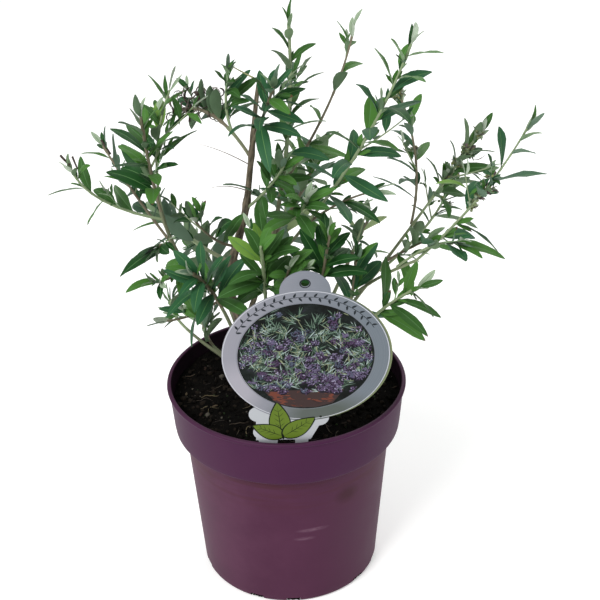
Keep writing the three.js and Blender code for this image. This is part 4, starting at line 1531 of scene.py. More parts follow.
@dataclass
class Shoot:
    """One shoot: a bough up to the share `bare`, and past it the stem of a foliage mass."""

    name: str
    source: str
    at: float
    elbow: tuple
    tip: tuple
    bare: float
    radii: tuple
    leaves: int
    leaf: float
    twigs: int
    seed: int
    foot: tuple

    @classmethod
    def read(cls, row: str) -> "Shoot":
        """Reads a row of the table of shoots.

        Args:
            row: its name and what it springs from, and then its numbers.

        Returns:
            The shoot.
        """
        name, source, *words = row.split()
        v = [float(word) for word in words]
        leaves, leaf, twigs, seed = v[10:14]
        return cls(name, source, v[0], tuple(v[1:4]), tuple(v[4:7]), v[7], tuple(v[8:10]),
                   int(leaves), leaf, int(twigs), int(seed), tuple(v[14:]))

    def grow_from(self, parent: Optional["Shoot"]) -> None:
        """Makes the shoot's curve.

        Args:
            parent: the limb it stands just clear of, or none where it comes from the soil.
        """
        elbow = np.array(self.elbow)
        if parent is None:
            start = np.array([*self.foot, PottingSoil.top + CLEAR])
        elif self.at == 1:
            start = parent.curve.point(1.0) + parent.curve.tangent(1.0) * CLEAR
        else:
            point, direction = parent.curve.point(self.at), parent.curve.tangent(self.at)
            reach = unit(elbow - point)
            outward = unit(reach - direction * (reach @ direction))
            lean = abs(reach @ direction)
            start = point + outward * (parent.radius(self.at) + CLEAR + self.radii[0] * lean)
        self.curve = Bend(start, elbow, self.tip)
        self.length = self.curve.length()

    def radius(self, t: float) -> float:
        """Returns the radius at a share of the length."""
        return lerp(self.radii[0], self.radii[1], t)


# One shoot a line: its name, what it springs from and where along it, its elbow, its tip, the share
# that is bare, its radii, how many leaves it has and how long, its twigs, its seed, and its foot.
SHOOTS = [Shoot.read(row) for row in """\
left          trunk        0.335  -80   8 216  -87 -12 355 0.7  1.9  0.8  13 36 1  83
left_low      left         0.67  -124 -14 296 -130 -30 326 0    1    0.6   6 36 0  27
left_back     left         0.55  -102  16 294 -121  46 313 0    1    0.6   9 32 1  96
left_high     left         0.68   -87  14 321  -71  22 360 0    1    0.6  11 34 1 193
left_inner    left         0.36   -80 -16 240  -84 -28 246 0    0.9  0.6   3 38 0  39
rear_left     trunk        0.42   -65  39 241  -88  66 253 0.35 1.5  0.8  17 36 1  62
fork_left     trunk        0.74   -43  25 351  -65  34 342 0.3  1.2  0.7  17 28 1  83
fork_high     fork_left    0.27   -37  18 351  -32  12 373 0    0.9  0.6  10 30 0   6
trunk_top     trunk        0.78   -10  -7 352   -3 -20 376 0    1    0.6  19 34 1  59
centre        trunk        0.16    11   9 298    7   4 408 0.52 2    0.8  11 34 1  58
centre_right  centre       0.5     38  26 347   49  44 388 0    1    0.6   5 32 0  61
right_tall    centre       0.2     52 -17 318   78 -44 408 0.3  1.15 0.6  21 36 1  23
right_inner   right_tall   0.25    41  -6 294   60 -14 301 0    0.9  0.6   1 38 0  46
right         soil         0       72  22 229  134  38 318 0.7  1.5  0.7  14 34 1  22   2   8
right_up      right        0.66   100  47 294   84  62 335 0    1    0.6   8 32 1  94
right_back    right        0.48   112  37 255  122  70 272 0    1    0.6   9 32 1  41
right_mid     right        0.52    84  16 243   98   8 254 0    1    0.6   4 38 0  76
right_low     soil         0       16 -13 220   87 -24 255 1    1.4  0.95  0  0 0   0  10  -4
right_far     right_low    1      129 -35 302  150 -44 354 0    0.95 0.5   8 38 1  82
young         soil         0       19 -31 214   30 -40 284 0.66 1.2  0.6  16 30 0  96  14 -24
front_right   soil         0       36 -34 213   86 -58 254 0.62 1.5  0.7   6 38 0  47  30 -18
low_right     front_right  0.42    45 -30 238   47 -34 263 0    0.9  0.6  11 36 0 119
low_left      soil         0      -91  46 177  -82  50 190 0.45 1.4  0.7   2 30 0  88 -34  28
low_rear      soil         0      -66  48 150  -60  66 176 0.4  1.2  0.7  15 30 0  58 -36  38
rear_centre   soil         0        6  60 240    2 128 255 0.45 1.8  0.8  27 36 1  40  -6  22
rear_right    soil         0       48  60 215   66 112 222 0.45 1.7  0.8  10 36 1  32  10  24
rear_far_left soil         0      -48  66 205  -66 108 212 0.45 1.7  0.8  19 36 1  71 -26  30
front_left    soil         0      -40 -22 235  -58 -48 262 0.55 1.6  0.8  22 36 1  81 -24   2
front_centre  soil         0      -12 -20 245  -14 -58 285 0.48 1.6  0.8  22 34 1  87 -12  -6
low_centre    front_centre 0.4     -1 -30 240    4 -42 262 0    0.9  0.6  14 34 0 102
centre_low    centre       0.12    -2  -4 222   12 -20 250 0    0.9  0.6  14 34 0  22
trunk_low     trunk        0.48   -48  -4 262  -58 -16 286 0    1    0.6   4 34 1  58
trunk_mid     trunk        0.6     -8  -2 298    2 -14 320 0    1    0.6  15 32 1  51
left_under    trunk        0.27   -62  -8 206  -80 -20 212 0    1    0.6   1 34 1 109
middle_front  centre       0.34    10 -22 285   16 -36 306 0    1    0.6  15 34 1   4
middle        centre       0.3     24  44 290   28  62 300 0    1.1  0.6  20 36 1  14
right_under   right_low    0.93    99 -30 274  109 -38 274 0    0.9  0.6   7 50 0 150
left_side     left         0.5    -78  -6 266  -82 -14 265 0    0.9  0.6   5 44 0 237
""".splitlines()]


@dataclass
class Woodwork:
    """The trunk and boughs as round limbs with ridged bark, knots and swollen joints."""

    trunk: Trunk
    shoots: dict
    step: float = 2.0
    ridge: float = 0.09
    knot: float = 0.22
    stout: float = 1.7
    crease: float = 60.0

    def relief(self, angle: float, run: float, seed: float) -> float:
        """Finds the bark's height.

        Args:
            angle: the place round the limb.
            run: the length along it.
            seed: sets the limb apart.

        Returns:
            The height, from -1 to 1.
        """
        c, s = math.cos(angle), math.sin(angle)
        ridges = noise.noise(Vector((2.2 * c, 2.2 * s, run / 9 + seed)))
        fine = noise.noise(Vector((5 * c, 5 * s, run / 3 - seed)))
        return max(-1.0, min(1.0, 1.3 * ridges + 0.6 * fine))

    def limb(self, bm: Shape, limb: object, end: float, seed: float, sides: int,
             age: Sequence, sink: float) -> None:
        """Sweeps one limb by extruding its end face along its curve.

        Args:
            bm: what it is added to.
            limb: the trunk or a shoot.
            end: the share of the curve where it ends.
            seed: sets the bark apart from other limbs'.
            sides: of its section.
            age: of its wood at the foot and at the tip, from 0 to 1.
            sink: how far its foot goes into what carries it.
        """
        relief_layer, age_layer = (bm.verts.layers.float[name] for name in ("relief", "age"))
        curve, whole = limb.curve, limb.curve.length()
        knots = [s.at for s in self.shoots.values() if s.source == limb.name and s.at < 1]
        count = max(6, int(whole * end / self.step))
        shares = [end * i / count for i in range(count + 1)]
        centres = [curve.point(t) for t in shares]
        centres.insert(0, centres[0] - curve.tangent(0.0) * sink)
        shares.insert(0, 0.0)
        u = across(curve.tangent(0.0))
        frames = []
        for t, centre in zip(shares, centres):
            d = curve.tangent(t)
            u = unit(u - d * (u @ d))
            v = np.cross(d, u)
            bump = sum(math.exp(-(((t - at) * whole / 3.5) ** 2)) for at in knots)
            r = limb.radius(t) * (1 + self.knot * min(1.0, bump))
            axes = Matrix(((*(u * r), 0), (*(v * r), 0), (*d, 0), (*centre, 1)))
            frames.append(axes.transposed())
        made = bmesh.ops.create_circle(bm, cap_ends=True, segments=sides, radius=1,
                                       matrix=frames[0])
        cap = made["verts"][0].link_faces[0]
        rings = [list(made["verts"])]
        for last, now in zip(frames, frames[1:]):
            made = bmesh.ops.extrude_face_region(bm, geom=[cap])
            cap = next(g for g in made["geom"] if isinstance(g, bmesh.types.BMFace))
            bmesh.ops.transform(bm, matrix=now @ last.inverted(), verts=cap.verts)
            rings.append(list(cap.verts))
        run = -sink
        for i, (ring, matrix, t) in enumerate(zip(rings, frames, shares)):
            run += float(np.linalg.norm(centres[i] - centres[i - 1])) if i else 0.0
            inverse = matrix.inverted()
            centre = matrix.translation
            for vert in ring:
                local = inverse @ vert.co
                height = self.relief(math.atan2(local.y, local.x), run, seed)
                vert[relief_layer] = 0.5 + 0.5 * height
                vert[age_layer] = lerp(age[0], age[1], t / end)
                vert.co = centre + (vert.co - centre) * (1 + self.ridge * height)

    def build(self) -> None:
        """Builds the trunk and the boughs, in place of their solids."""
        boughs = [s for s in self.shoots.values() if s.bare > 0]
        limbs = [(self.trunk, 1.0, 0.0, 22, (1.0, 0.9), 4.0)]
        for i, shoot in enumerate(boughs):
            age = (0.9, 0.45) if shoot.radii[0] > self.stout else (0.6, 0.15)
            sink = 4.0 if shoot.source == "soil" else 2.5
            limbs.append((shoot, shoot.bare, 10.0 + 7 * i, 14, age, sink))
        for name, rows, nodes in (("old_stem", limbs[:1], ["trunk"]),
                                  ("boughs", limbs[1:], [f"bough_{s.name}" for s in boughs])):
            bm = bmesh.new()
            for layer in ("relief", "age"):
                bm.verts.layers.float.new(layer)
            for row in rows:
                self.limb(bm, *row)
            settle(from_bmesh(bm, name, self.crease, Bark()), "bark", *nodes)


# ---------- the growth rule


class Obstacles:
    """Straight pieces with a radius, and a test for room beside them."""

    def __init__(self, rows: Sequence = ()) -> None:
        """Takes (owner, start, end, radius) rows."""
        self.rows = []
        self.extend(rows)

    def extend(self, rows: Iterable) -> None:
        """Adds (owner, start, end, radius) rows."""
        self.rows.extend(rows)
        self.starts, self.ends, self.radii = (
            np.array([row[i] for row in self.rows]) for i in (1, 2, 3))

    def clear(self, p: Vec, q: Vec, radius: float) -> bool:
        """Tests for room.

        Args:
            p: where a round piece starts.
            q: where it ends.
            radius: its radius.

        Returns:
            Whether it keeps clear of every row.
        """
        if not self.rows:
            return True
        middle = (self.starts + self.ends) / 2
        half = np.linalg.norm(self.ends - self.starts, axis=1) / 2
        near = np.linalg.norm(middle - (p + q) / 2, axis=1) < (
            half + np.linalg.norm(q - p) / 2 + radius + self.radii + CLEAR + 1e-6)
        if not near.any():
            return True
        starts, radii = self.starts[near], self.radii[near]
        d1, d2, r = q - p, self.ends[near] - starts, p - starts
        len1, len2, dot = d1 @ d1, (d2 * d2).sum(1), d2 @ d1
        c, f = r @ d1, (d2 * r).sum(1)
        spread = len1 * len2 - dot * dot
        wide = spread > 1e-9
        s = np.where(wide, np.clip((dot * f - c * len2) / np.where(wide, spread, 1), 0, 1), 0.0)
        t = (dot * s + f) / len2
        s = np.where(t < 0, np.clip(-c / len1, 0, 1),
                     np.where(t > 1, np.clip((dot - c) / len1, 0, 1), s))
        t = np.clip(t, 0, 1)
        gap = np.linalg.norm(p + s[:, None] * d1 - (starts + t[:, None] * d2), axis=1)
        return not (gap < radius + radii + CLEAR).any()


@dataclass(frozen=True)
class Rule:
    """How leaves stand along a stem, as for the solids."""

    turn_jitter: float = 0.35
    spread: tuple = (math.radians(72), math.radians(36))
    spread_jitter: float = 0.24
    size: tuple = (0.82, 1.12)
    shrink: float = 0.35
    droop: float = 0.26
    twist: float = 0.5
    first_on_bough: float = 0.06
    first_on_limb: float = 0.16
    last: float = 0.97
    tries: int = 5
    stalk_free: float = 3.0
    lowest: float = 158.0
    centre: tuple = (5.0, 20.0, 215.0)
    tag_space: tuple = (-52.0, 76.0, -58.0, 292.0)
    tuft_leaf: float = 0.72
    twig_last: float = 0.92
    twig_length: tuple = (20, 36)
    twig_leaf: float = 0.62
    twig_tuft: float = 0.5
    axil_share: float = 0.5
    axil_size: tuple = (0.26, 0.46)
    fine_gap: float = 60.0
    fine_length: tuple = (10, 24)
    fine_leaf: tuple = (11, 18)
    fine_seed: int = 1000
    widest: float = 0.45
    half_width: float = 0.12
    reach: float = 0.98

    def in_space(self, p: Vec) -> bool:
        """Tells whether a point is above the rim and off the tag."""
        left, right, back, top = self.tag_space
        return p[2] >= self.lowest and not (p[1] < back and p[2] < top and left < p[0] < right)


RULE = Rule()


@dataclass
class Leaf:
    """One leaf, from its root on a stem. It droops by a share of its length and its blade is
    twisted by an angle. Its place is how far up its shoot it stands, from 0 to 1.
    """

    root: Vec
    stem: Vec
    direction: Vec
    length: float
    droop: float
    twist: float
    place: float = 0.5

    def __post_init__(self) -> None:
        """Works out the leaf's points and the side that its blade turns to."""
        root, direction, length = self.root, self.direction, self.length
        self.half = RULE.half_width * length
        self.middle = root + direction * (RULE.widest * length)
        self.tip = root + direction * (RULE.reach * length) - UP * (self.droop * length)
        outward = unit(self.middle - np.array(RULE.centre))
        face = 0.3 * self.stem + 0.45 * UP + 0.75 * outward
        face = face - direction * (face @ direction)
        size = math.sqrt(face @ face)
        face = across(direction) if size < 0.15 else face / size
        side = np.cross(face, direction)
        self.side = side * math.cos(self.twist) + face * math.sin(self.twist)

    def rows(self, owner: str, radius: float) -> list:
        """Returns the straight pieces that stand for the leaf."""
        return [(owner, self.root + self.direction, self.middle, radius),
                (owner, self.middle, self.tip, radius)]


@dataclass
class Mass:
    """One foliage mass: the leafy part of a shoot, its tuft and its side twigs. It grows clear of
    the rows of all other limbs and of the masses before it.
    """

    shoot: Shoot
    limbs: Sequence
    neighbours: Sequence

    def __post_init__(self) -> None:
        """Places the leaves, the tuft and the side twigs."""
        shoot = self.shoot
        self.random = random = Random(shoot.seed)
        self.leaves, self.small, self.twigs, self.fine = [], [], [], []
        self.own = Obstacles()
        others = [row for row in self.limbs if row[0] != f"mass {shoot.name}"]
        self.obstacles = Obstacles([*others, *self.neighbours])
        self.first = shoot.bare + (RULE.first_on_bough if shoot.bare > 0 else RULE.first_on_limb)
        self.dress(shoot.curve, self.first, RULE.last, shoot.leaves, shoot.leaf)
        self.tuft(shoot.curve, RULE.tuft_leaf * shoot.leaf, 3)
        for i in range(shoot.twigs):
            share = 0.8 * (i + random.between(0.4, 0.8)) / shoot.twigs
            self.twig(lerp(self.first, RULE.twig_last, share), shoot.leaf, shoot.radii[1])

    def dress(self, curve: Curve, start: float, end: float, count: int, length: float) -> None:
        """Places alternate leaves along a stretch of a stem.

        Args:
            curve: the stem.
            start: the share of it where the stretch begins.
            end: the share where it ends.
            count: how many leaves.
            length: of the lowest one.
        """
        random = self.random
        turn = random.between(0, FULL)
        for i in range(count):
            u = (i + random.between(0.3, 0.7)) / count
            t = lerp(start, end, u)
            turn += TURN + random.between(-RULE.turn_jitter, RULE.turn_jitter)
            jitter = random.between(-RULE.spread_jitter, RULE.spread_jitter)
            size = length * (1 - RULE.shrink * u * u) * random.between(*RULE.size)
            droop = random.between(0, RULE.droop)
            twist = random.between(-RULE.twist, RULE.twist)
            self.leaf(curve.point(t), curve.tangent(t), turn, lerp(*RULE.spread, u) + jitter,
                      (size, droop, twist, u))

    def tuft(self, curve: Curve, length: float, count: int) -> None:
        """Places small upright leaves round the tip of a stem.

        Args:
            curve: the stem.
            length: of the leaves.
            count: how many.
        """
        random = self.random
        direction, stem = curve.tangent(1.0), curve.length()
        turn = random.between(0, FULL)
        for i in range(count):
            turn += TURN + random.between(-0.3, 0.3)
            size = length * (0.78 - 0.1 * i) * random.between(0.8, 1.1)
            droop = random.between(-0.03, 0.03)
            twist = random.between(-0.4, 0.4)
            root = curve.point(1 - (0.5 + 2 * i) / stem)
            self.leaf(root, direction, turn, math.radians(10 + 8 * i), (size, droop, twist, 1.0),
                      False)

    def twig(self, at: float, leaf: float, radius: float) -> None:
        """Places a side twig with its leaves, where there is room.

        Args:
            at: the share of the shoot where it springs.
            leaf: the length of the shoot's leaves.
            radius: its radius.
        """
        random, curve = self.random, self.shoot.curve
        turn = random.between(0, FULL)
        spread = random.between(0.7, 1)
        length = random.between(*RULE.twig_length)
        root, stem = curve.point(at), curve.tangent(at)
        for _ in range(RULE.tries):
            direction = unit(aim(stem, turn, spread) + UP * 0.15)
            middle = root + direction * (length / 2)
            tip = root + direction * length + UP * (0.12 * length)
            runs = ((root + direction * RULE.stalk_free, middle), (middle, tip))
            fits = RULE.in_space(tip) and all(self.obstacles.clear(*run, radius) for run in runs)
            if fits and all(self.own.clear(*run, radius) for run in runs):
                bend = Bend(root, middle, tip)
                self.twigs.append((bend, radius))
                self.own.extend(self.twig_rows(bend, radius))
                self.dress(bend, 0.25, 0.95, 3, RULE.twig_leaf * leaf)
                self.tuft(bend, RULE.twig_tuft * leaf, 2)
                return
            turn += TURN / 2

    def twig_rows(self, bend: Bend, radius: float) -> list:
        """Returns the straight pieces that stand for a side twig."""
        half, owner = bend.point(0.5), self.shoot.name
        return [(owner, bend.foot, half, radius), (owner, half, bend.tip, radius)]

    def leaf(self, root: Vec, stem: Vec, turn: float, spread: float, shape: tuple,
             apart: bool = True) -> None:
        """Places one leaf, turned round its stem until it touches nothing, or leaves it out.

        Args:
            root: where it springs.
            stem: the stem's direction there.
            turn: its angle round the stem.
            spread: its angle from the stem.
            shape: its length, droop, twist and place up the shoot.
            apart: whether it keeps clear of the mass's own leaves too.
        """
        for _ in range(RULE.tries):
            direction = aim(stem, turn, spread)
            leaf = Leaf(root, stem, direction, *shape)
            runs = ((root + direction * RULE.stalk_free, leaf.middle), (leaf.middle, leaf.tip))
            fits = RULE.in_space(leaf.middle) and RULE.in_space(leaf.tip) and all(
                self.obstacles.clear(*run, leaf.half) for run in runs)
            if fits and (not apart or all(self.own.clear(*run, leaf.half / 2) for run in runs)):
                self.leaves.append(leaf)
                self.own.extend(leaf.rows("", leaf.half / 2))
                return
            turn += TURN / 2

    def rows(self) -> list:
        """Returns the straight pieces that later masses keep clear of."""
        rows = [row for leaf in self.leaves for row in leaf.rows(self.shoot.name, leaf.half)]
        return rows + [row for twig in self.twigs for row in self.twig_rows(*twig)]

    def refine(self) -> None:
        """Adds finer shoots and the small leaves in the leaf axils, within the mass's reach."""
        random = Random(self.shoot.seed + RULE.fine_seed)
        curve = self.shoot.curve
        leafy = self.shoot.length * (1 - self.first)
        for leaf in self.leaves:
            if leaf.place >= 1 or random.next() > RULE.axil_share:
                continue
            stem = unit(leaf.direction + 0.9 * curve.tangent(leaf.place))
            for _ in range(2):
                turn = random.between(0, FULL)
                length = leaf.length * random.between(*RULE.axil_size)
                direction = aim(stem, turn, random.between(0.15, 0.6))
                young = Leaf(leaf.root, stem, direction, length, random.between(-0.05, 0.1),
                             random.between(-0.6, 0.6), 0.9)
                if RULE.in_space(young.tip):
                    self.small.append(young)
        shoots = max(1, round(leafy / RULE.fine_gap))
        for i in range(shoots):
            self.fine_shoot(lerp(self.first, 0.85, (i + random.next()) / shoots), random)

    def fine_shoot(self, at: float, random: Random) -> None:
        """Adds one fine shoot with a few small leaves, where there is room.

        Args:
            at: the share of the shoot where it springs.
            random: gives its bends.
        """
        root, stem = self.shoot.curve.point(at), self.shoot.curve.tangent(at)
        length = random.between(*RULE.fine_length)
        spread = random.between(0.5, 0.95)
        turn = random.between(0, FULL)
        for _ in range(RULE.tries):
            direction = unit(aim(stem, turn, spread) + UP * 0.2)
            middle, tip = root + direction * (length / 2), root + direction * length + UP * 1.5
            if RULE.in_space(tip) and self.obstacles.clear(root + direction * 3, tip, 0.5):
                break
            turn += TURN / 2
        else:
            return
        bend = Bend(root, middle, tip)
        self.fine.append(bend)
        count = 3 + int(length / 6)
        for i in range(count):
            u = 0.3 + 0.7 * i / (count - 1)
            turn += TURN
            direction = aim(bend.tangent(u), turn, lerp(1.0, 0.3, u))
            leaf = Leaf(bend.point(min(u, 0.98)), bend.tangent(u), direction,
                        random.between(*RULE.fine_leaf) * (1.1 - 0.4 * u), random.between(0, 0.1),
                        random.between(-0.5, 0.5), lerp(0.6, 1.0, u))
            if RULE.in_space(leaf.tip) and RULE.in_space(leaf.middle):
                self.small.append(leaf)


class Bush:
    """The whole plant above the soil: it grows the limbs and the masses in order."""

    def __init__(self) -> None:
        """Grows the plant."""
        self.trunk = Trunk()
        self.shoots = {}
        limbs = self.pieces("trunk", self.trunk, 0, 1, 24)
        for shoot in SHOOTS:
            shoot.grow_from({"trunk": self.trunk, **self.shoots}.get(shoot.source))
            self.shoots[shoot.name] = shoot
            if shoot.bare > 0:
                limbs += self.pieces(f"bough {shoot.name}", shoot, 0, shoot.bare, 8)
            if shoot.bare < 1:
                limbs += self.pieces(f"mass {shoot.name}", shoot, shoot.bare, 1, 10)
        grown, self.masses = [], []
        for shoot in SHOOTS:
            if shoot.bare < 1:
                self.masses.append(Mass(shoot, limbs, grown))
                grown += self.masses[-1].rows()
        for mass in self.masses:
            mass.refine()

    @staticmethod
    def pieces(owner: str, limb: object, start: float, end: float, count: int) -> list:
        """Returns the rows of the straight pieces that stand for a stretch of a limb."""
        shares = [lerp(start, end, i / count) for i in range(count + 1)]
        return [(owner, limb.curve.point(a), limb.curve.point(b), limb.radius((a + b) / 2))
                for a, b in zip(shares, shares[1:])]


# ---------- leaves and twigs


class Tint(Enum):
    """The greens dealt out by spray: of each, the upper side's colour and the underside's."""

    DEEP = ("#184618", "#5f785a")
    MID = ("#325a23", "#6c8464")
    BLUE = ("#2a5936", "#6c8670")
    FRESH = ("#45732d", "#7f9974")
    LIME = ("#69903a", "#95a878")
    GREY = ("#9bad92", "#b2c0ab")


@dataclass(frozen=True)
class BladeShape:
    """The outline of a blade: how wide it is at stations along its length."""

    stations: tuple
    widths: tuple
    broad: float


FULL_BLADE = BladeShape((0.0, 0.06, 0.14, 0.26, 0.42, 0.6, 0.76, 0.89, 0.965, 1.0),
                        (0.1, 0.14, 0.46, 0.82, 1.0, 0.98, 0.8, 0.5, 0.22, 0.0), 1.12)
SMALL_BLADE = BladeShape((0.0, 0.1, 0.3, 0.58, 0.84, 1.0), (0.12, 0.35, 0.9, 1.0, 0.6, 0.0), 1.35)
SEPAL = BladeShape((0.0, 0.25, 0.6, 1.0), (0.3, 1.0, 0.9, 0.0), 1.7)


@dataclass
class Foliage:
    """The leaf blades and twigs of every mass."""

    bush: Bush
    columns: tuple = (1.0, 0.55, 0.05, -0.05, -0.55, -1.0)
    rib: str = "#557f4a"
    dead: str = "#5a4330"
    dead_share: float = 0.05
    thickness: float = 0.35
    seed: int = 900
    slot: str = "foliage"
    bud_places: tuple = (("right", (0.82, 0.88, 0.93, 1.0)), ("right_back", (0.7, 0.86, 1.0)),
                         ("right_far", (0.42, 0.5, 0.56, 0.63)), ("right_up", (0.55, 1.0)))

    def blade(self, leaf: Leaf, random: Random, shape: BladeShape) -> tuple:
        """Makes a leaf: a folded, arched, slightly rippled blade with a keeled underside.

        Args:
            leaf: where it stands.
            random: gives its own bends.
            shape: its outline.

        Returns:
            Its points, faces and pattern places.
        """
        s = np.array(shape.stations)[:, None]
        length = leaf.length
        face = np.cross(leaf.direction, leaf.side)
        arch = random.between(0.0, 0.07)
        sickle = random.between(-0.08, 0.08)
        fold = random.between(0.02, 0.32)
        spin = random.between(-0.4, 0.4)
        ripple = random.between(0.03, 0.2) * np.sin(FULL * 1.4 * s + random.between(0, FULL))
        middle = leaf.root + leaf.direction * (length * (s - 0.02 * s * s))
        middle = middle - UP * (leaf.droop * length * s**2.2)
        middle = middle + face * (4 * arch * length * s * (1 - s))
        middle = middle + leaf.side * (sickle * length * (s * s - s) * 2)
        angle = spin * (s - 0.4)
        side = leaf.side * np.cos(angle) + face * np.sin(angle)
        normal = face * np.cos(angle) - leaf.side * np.sin(angle)
        half = leaf.half * shape.broad * np.array(shape.widths)[:, None]
        rings = []
        for column in self.columns:
            off = abs(column)
            lift = off * math.sin(fold) + 0.14 * (1 - abs(2 * off - 1)) + ripple * column
            rings.append(middle + side * half * (column * math.cos(fold)) + normal * half * lift)
        rings.append(middle - normal * np.minimum(self.thickness, 0.35 * half + 0.1))
        sides, last = len(rings), len(s) - 1
        points = np.concatenate([np.stack(rings, 1)[:last].reshape(-1, 3), middle[last:]])
        low, tip = (last - 1) * sides, last * sides
        faces = strips(last, sides) + [(low + j, low + (j + 1) % sides, tip) for j in range(sides)]
        faces.append(tuple(reversed(range(sides))))
        uvs = np.array([(abs(o) * 0.6 + 4 * t, o) for t in shape.stations[:last]
                        for o in (*self.columns, 0.0)] + [(4.0, 0.0)])
        return points, faces, uvs

    def slots(self, shape: BladeShape, tint: int, dead_tip: bool) -> list:
        """Gives the faces of a blade their slots.

        Args:
            shape: its outline.
            tint: the number of its tint.
            dead_tip: whether its tip has died back.

        Returns:
            A slot for each face: the tint, its underside, the midrib or the dead tip.
        """
        upper, under, rib = 2 * tint, 2 * tint + 1, 2 * len(Tint)
        row = [upper, upper, rib, upper, upper, under, under]
        rows = [row] * (len(shape.stations) - 1)
        if dead_tip:
            rows[-1] = [rib + 1] * len(row)
        return [slot for row in rows for slot in row] + [under]

    def tint_of(self, number: int, leaf: Leaf, random: Random) -> int:
        """Deals out a tint: one for each spray, lighter towards its tip.

        Args:
            number: of the mass.
            leaf: the leaf.
            random: gives the odd ones.

        Returns:
            The number of the tint.
        """
        tints = list(Tint)
        spray = (0, 1, 2, 1, 3, 2)[number % 6]
        share = random.next()
        if leaf.place > 0.93 and leaf.length < 19 and share < 0.55:
            return tints.index(Tint.GREY)
        if leaf.place > 0.75 and share < 0.4:
            return tints.index(Tint.FRESH)
        if share < 0.04:
            return tints.index(Tint.LIME)
        return spray if share < 0.7 else random.pick((0, 1, 2, 3))

    def build_leaves(self) -> None:
        """Builds the large and the small leaves, each kind as one piece."""
        finishes = []
        for tint in Tint:
            upper, under = tint.value
            finishes += [Blade(f"leaf_{tint.name.lower()}", upper),
                         Blade(f"leaf_under_{tint.name.lower()}", under, 0.75, 0.6)]
        finishes += [Blade("leaf_midrib", self.rib, 0.6), Blade("leaf_dead_tip", self.dead, 0.9)]
        masses = self.bush.masses
        kinds = (("leaves", "leaves", FULL_BLADE, [f"foliage_{m.shoot.name}" for m in masses]),
                 ("small", "small_leaves", SMALL_BLADE, []))
        for kind, name, shape, nodes in kinds:
            random = Random(self.seed)
            joined = Joined()
            for number, mass in enumerate(masses):
                for leaf in getattr(mass, kind):
                    blade = self.blade(leaf, random, shape)
                    tint = self.tint_of(number, leaf, random)
                    dead_tip = random.next() < self.dead_share
                    joined.add(*blade, self.slots(shape, tint, dead_tip))
            joined.piece(name, self.slot, 42, finishes, *nodes)

    def stem_line(self, mass: Mass) -> tuple:
        """Works out a mass's stem, thicker at each leaf.

        Args:
            mass: the mass.

        Returns:
            Its middle line and radii.
        """
        shoot, start = mass.shoot, mass.shoot.bare
        count = max(8, int(shoot.length * (1 - start) / 2.5))
        points = shoot.curve.line(count, start)
        radii = np.array([shoot.radius(t) for t in np.linspace(start, 1, count)])
        for leaf in mass.leaves:
            near = np.linalg.norm(points - leaf.root, axis=1)
            radii *= 1 + 0.3 * np.exp(-((near / 1.6) ** 2))
        sink = 1.0 if start > 0 else 2.2
        points = np.vstack([points[0] - shoot.curve.tangent(start) * sink, points])
        return points, np.concatenate([[radii[0]], radii])

    def build_twigs(self) -> None:
        """Builds the stems of the masses, their side twigs and finer shoots, as one piece."""
        joined = Joined()
        for number, mass in enumerate(self.bush.masses):
            joined.add(*tube(*self.stem_line(mass), 8), number % 2)
            for bend, radius in mass.twigs:
                joined.add(*tube(bend.line(10), radius * np.linspace(1, 0.7, 10), 7), 1)
            for bend in mass.fine:
                joined.add(*tube(bend.line(8), np.linspace(0.5, 0.3, 8), 6), 2)
        finishes = [Rind("brown_rind", "#6f6853"), Rind("grey_green_rind", "#84946f"),
                    Rind("green_rind", "#86a27a")]
        joined.piece("twigs", self.slot, 60, finishes)

    def bud(self, joined: Joined, shoot: Shoot, t: float, random: Random) -> None:
        """Adds one cluster of unopened buds: a stalk, a star of sepals and the knobs on it.

        Args:
            joined: what it is added to.
            shoot: the shoot that carries it.
            t: the share of the shoot where it springs.
            random: gives its bends.
        """
        away = aim(shoot.curve.tangent(t), random.between(0, FULL), random.between(0.4, 1.1))
        root = shoot.curve.point(min(t, 0.995))
        heart = root + away * random.between(2.0, 5.0)
        line = np.array([root, (root + heart) / 2 + UP * 0.3, heart])
        joined.add(*tube(line, np.array([0.4, 0.35, 0.5]), 5), 1)
        turn = random.between(0, FULL)
        for _ in range(6):
            turn += TURN
            sepal = Leaf(heart, away, aim(away, turn, random.between(0.3, 1.2)),
                         random.between(3.0, 6.0), 0.0, random.between(-0.5, 0.5))
            joined.add(*self.blade(sepal, random, SEPAL), random.pick((0, 0, 1, 2)))
        for _ in range(5):
            offset = np.array([random.between(-2.2, 2.2) for _ in range(3)])
            rise = np.linspace(-1, 1, 5)[:, None] * random.between(0.8, 1.3) * away
            knob = heart + offset + UP * 0.5 + rise
            joined.add(*tube(knob, np.array([0.3, 0.9, 1.1, 0.8, 0.2]), 6),
                       random.pick((0, 1, 1, 3)))

    def build_buds(self) -> None:
        """Builds the clusters of unopened buds near the right-hand tips, as one piece."""
        random = Random(self.seed + 1)
        joined = Joined()
        for name, places in self.bud_places:
            for t in np.repeat(places, 3):
                self.bud(joined, self.bush.shoots[name], t, random)
        finishes = [Rind("bud_grey_green", "#808f78"), Rind("bud_stalk_green", "#6f7a55"),
                    Rind("bud_dusky", "#645856"), Rind("bud_olive", "#83874f")]
        joined.piece("buds", self.slot, 45, finishes)

    def build(self) -> None:
        """Builds all of the foliage."""
        for part in (self.build_leaves, self.build_twigs, self.build_buds):
            part()


@dataclass(frozen=True)
class Stick:
    """A dry or leafless bit of shoot, from its foot over an elbow to its tip."""

    foot: tuple
    elbow: tuple
    tip: tuple
    radii: tuple
    slot: int


@dataclass(frozen=True)
class Wilt:
    """A place where leaves have wilted and curled: its middle, reach and number of curls."""

    middle: tuple
    reach: tuple
    curls: int


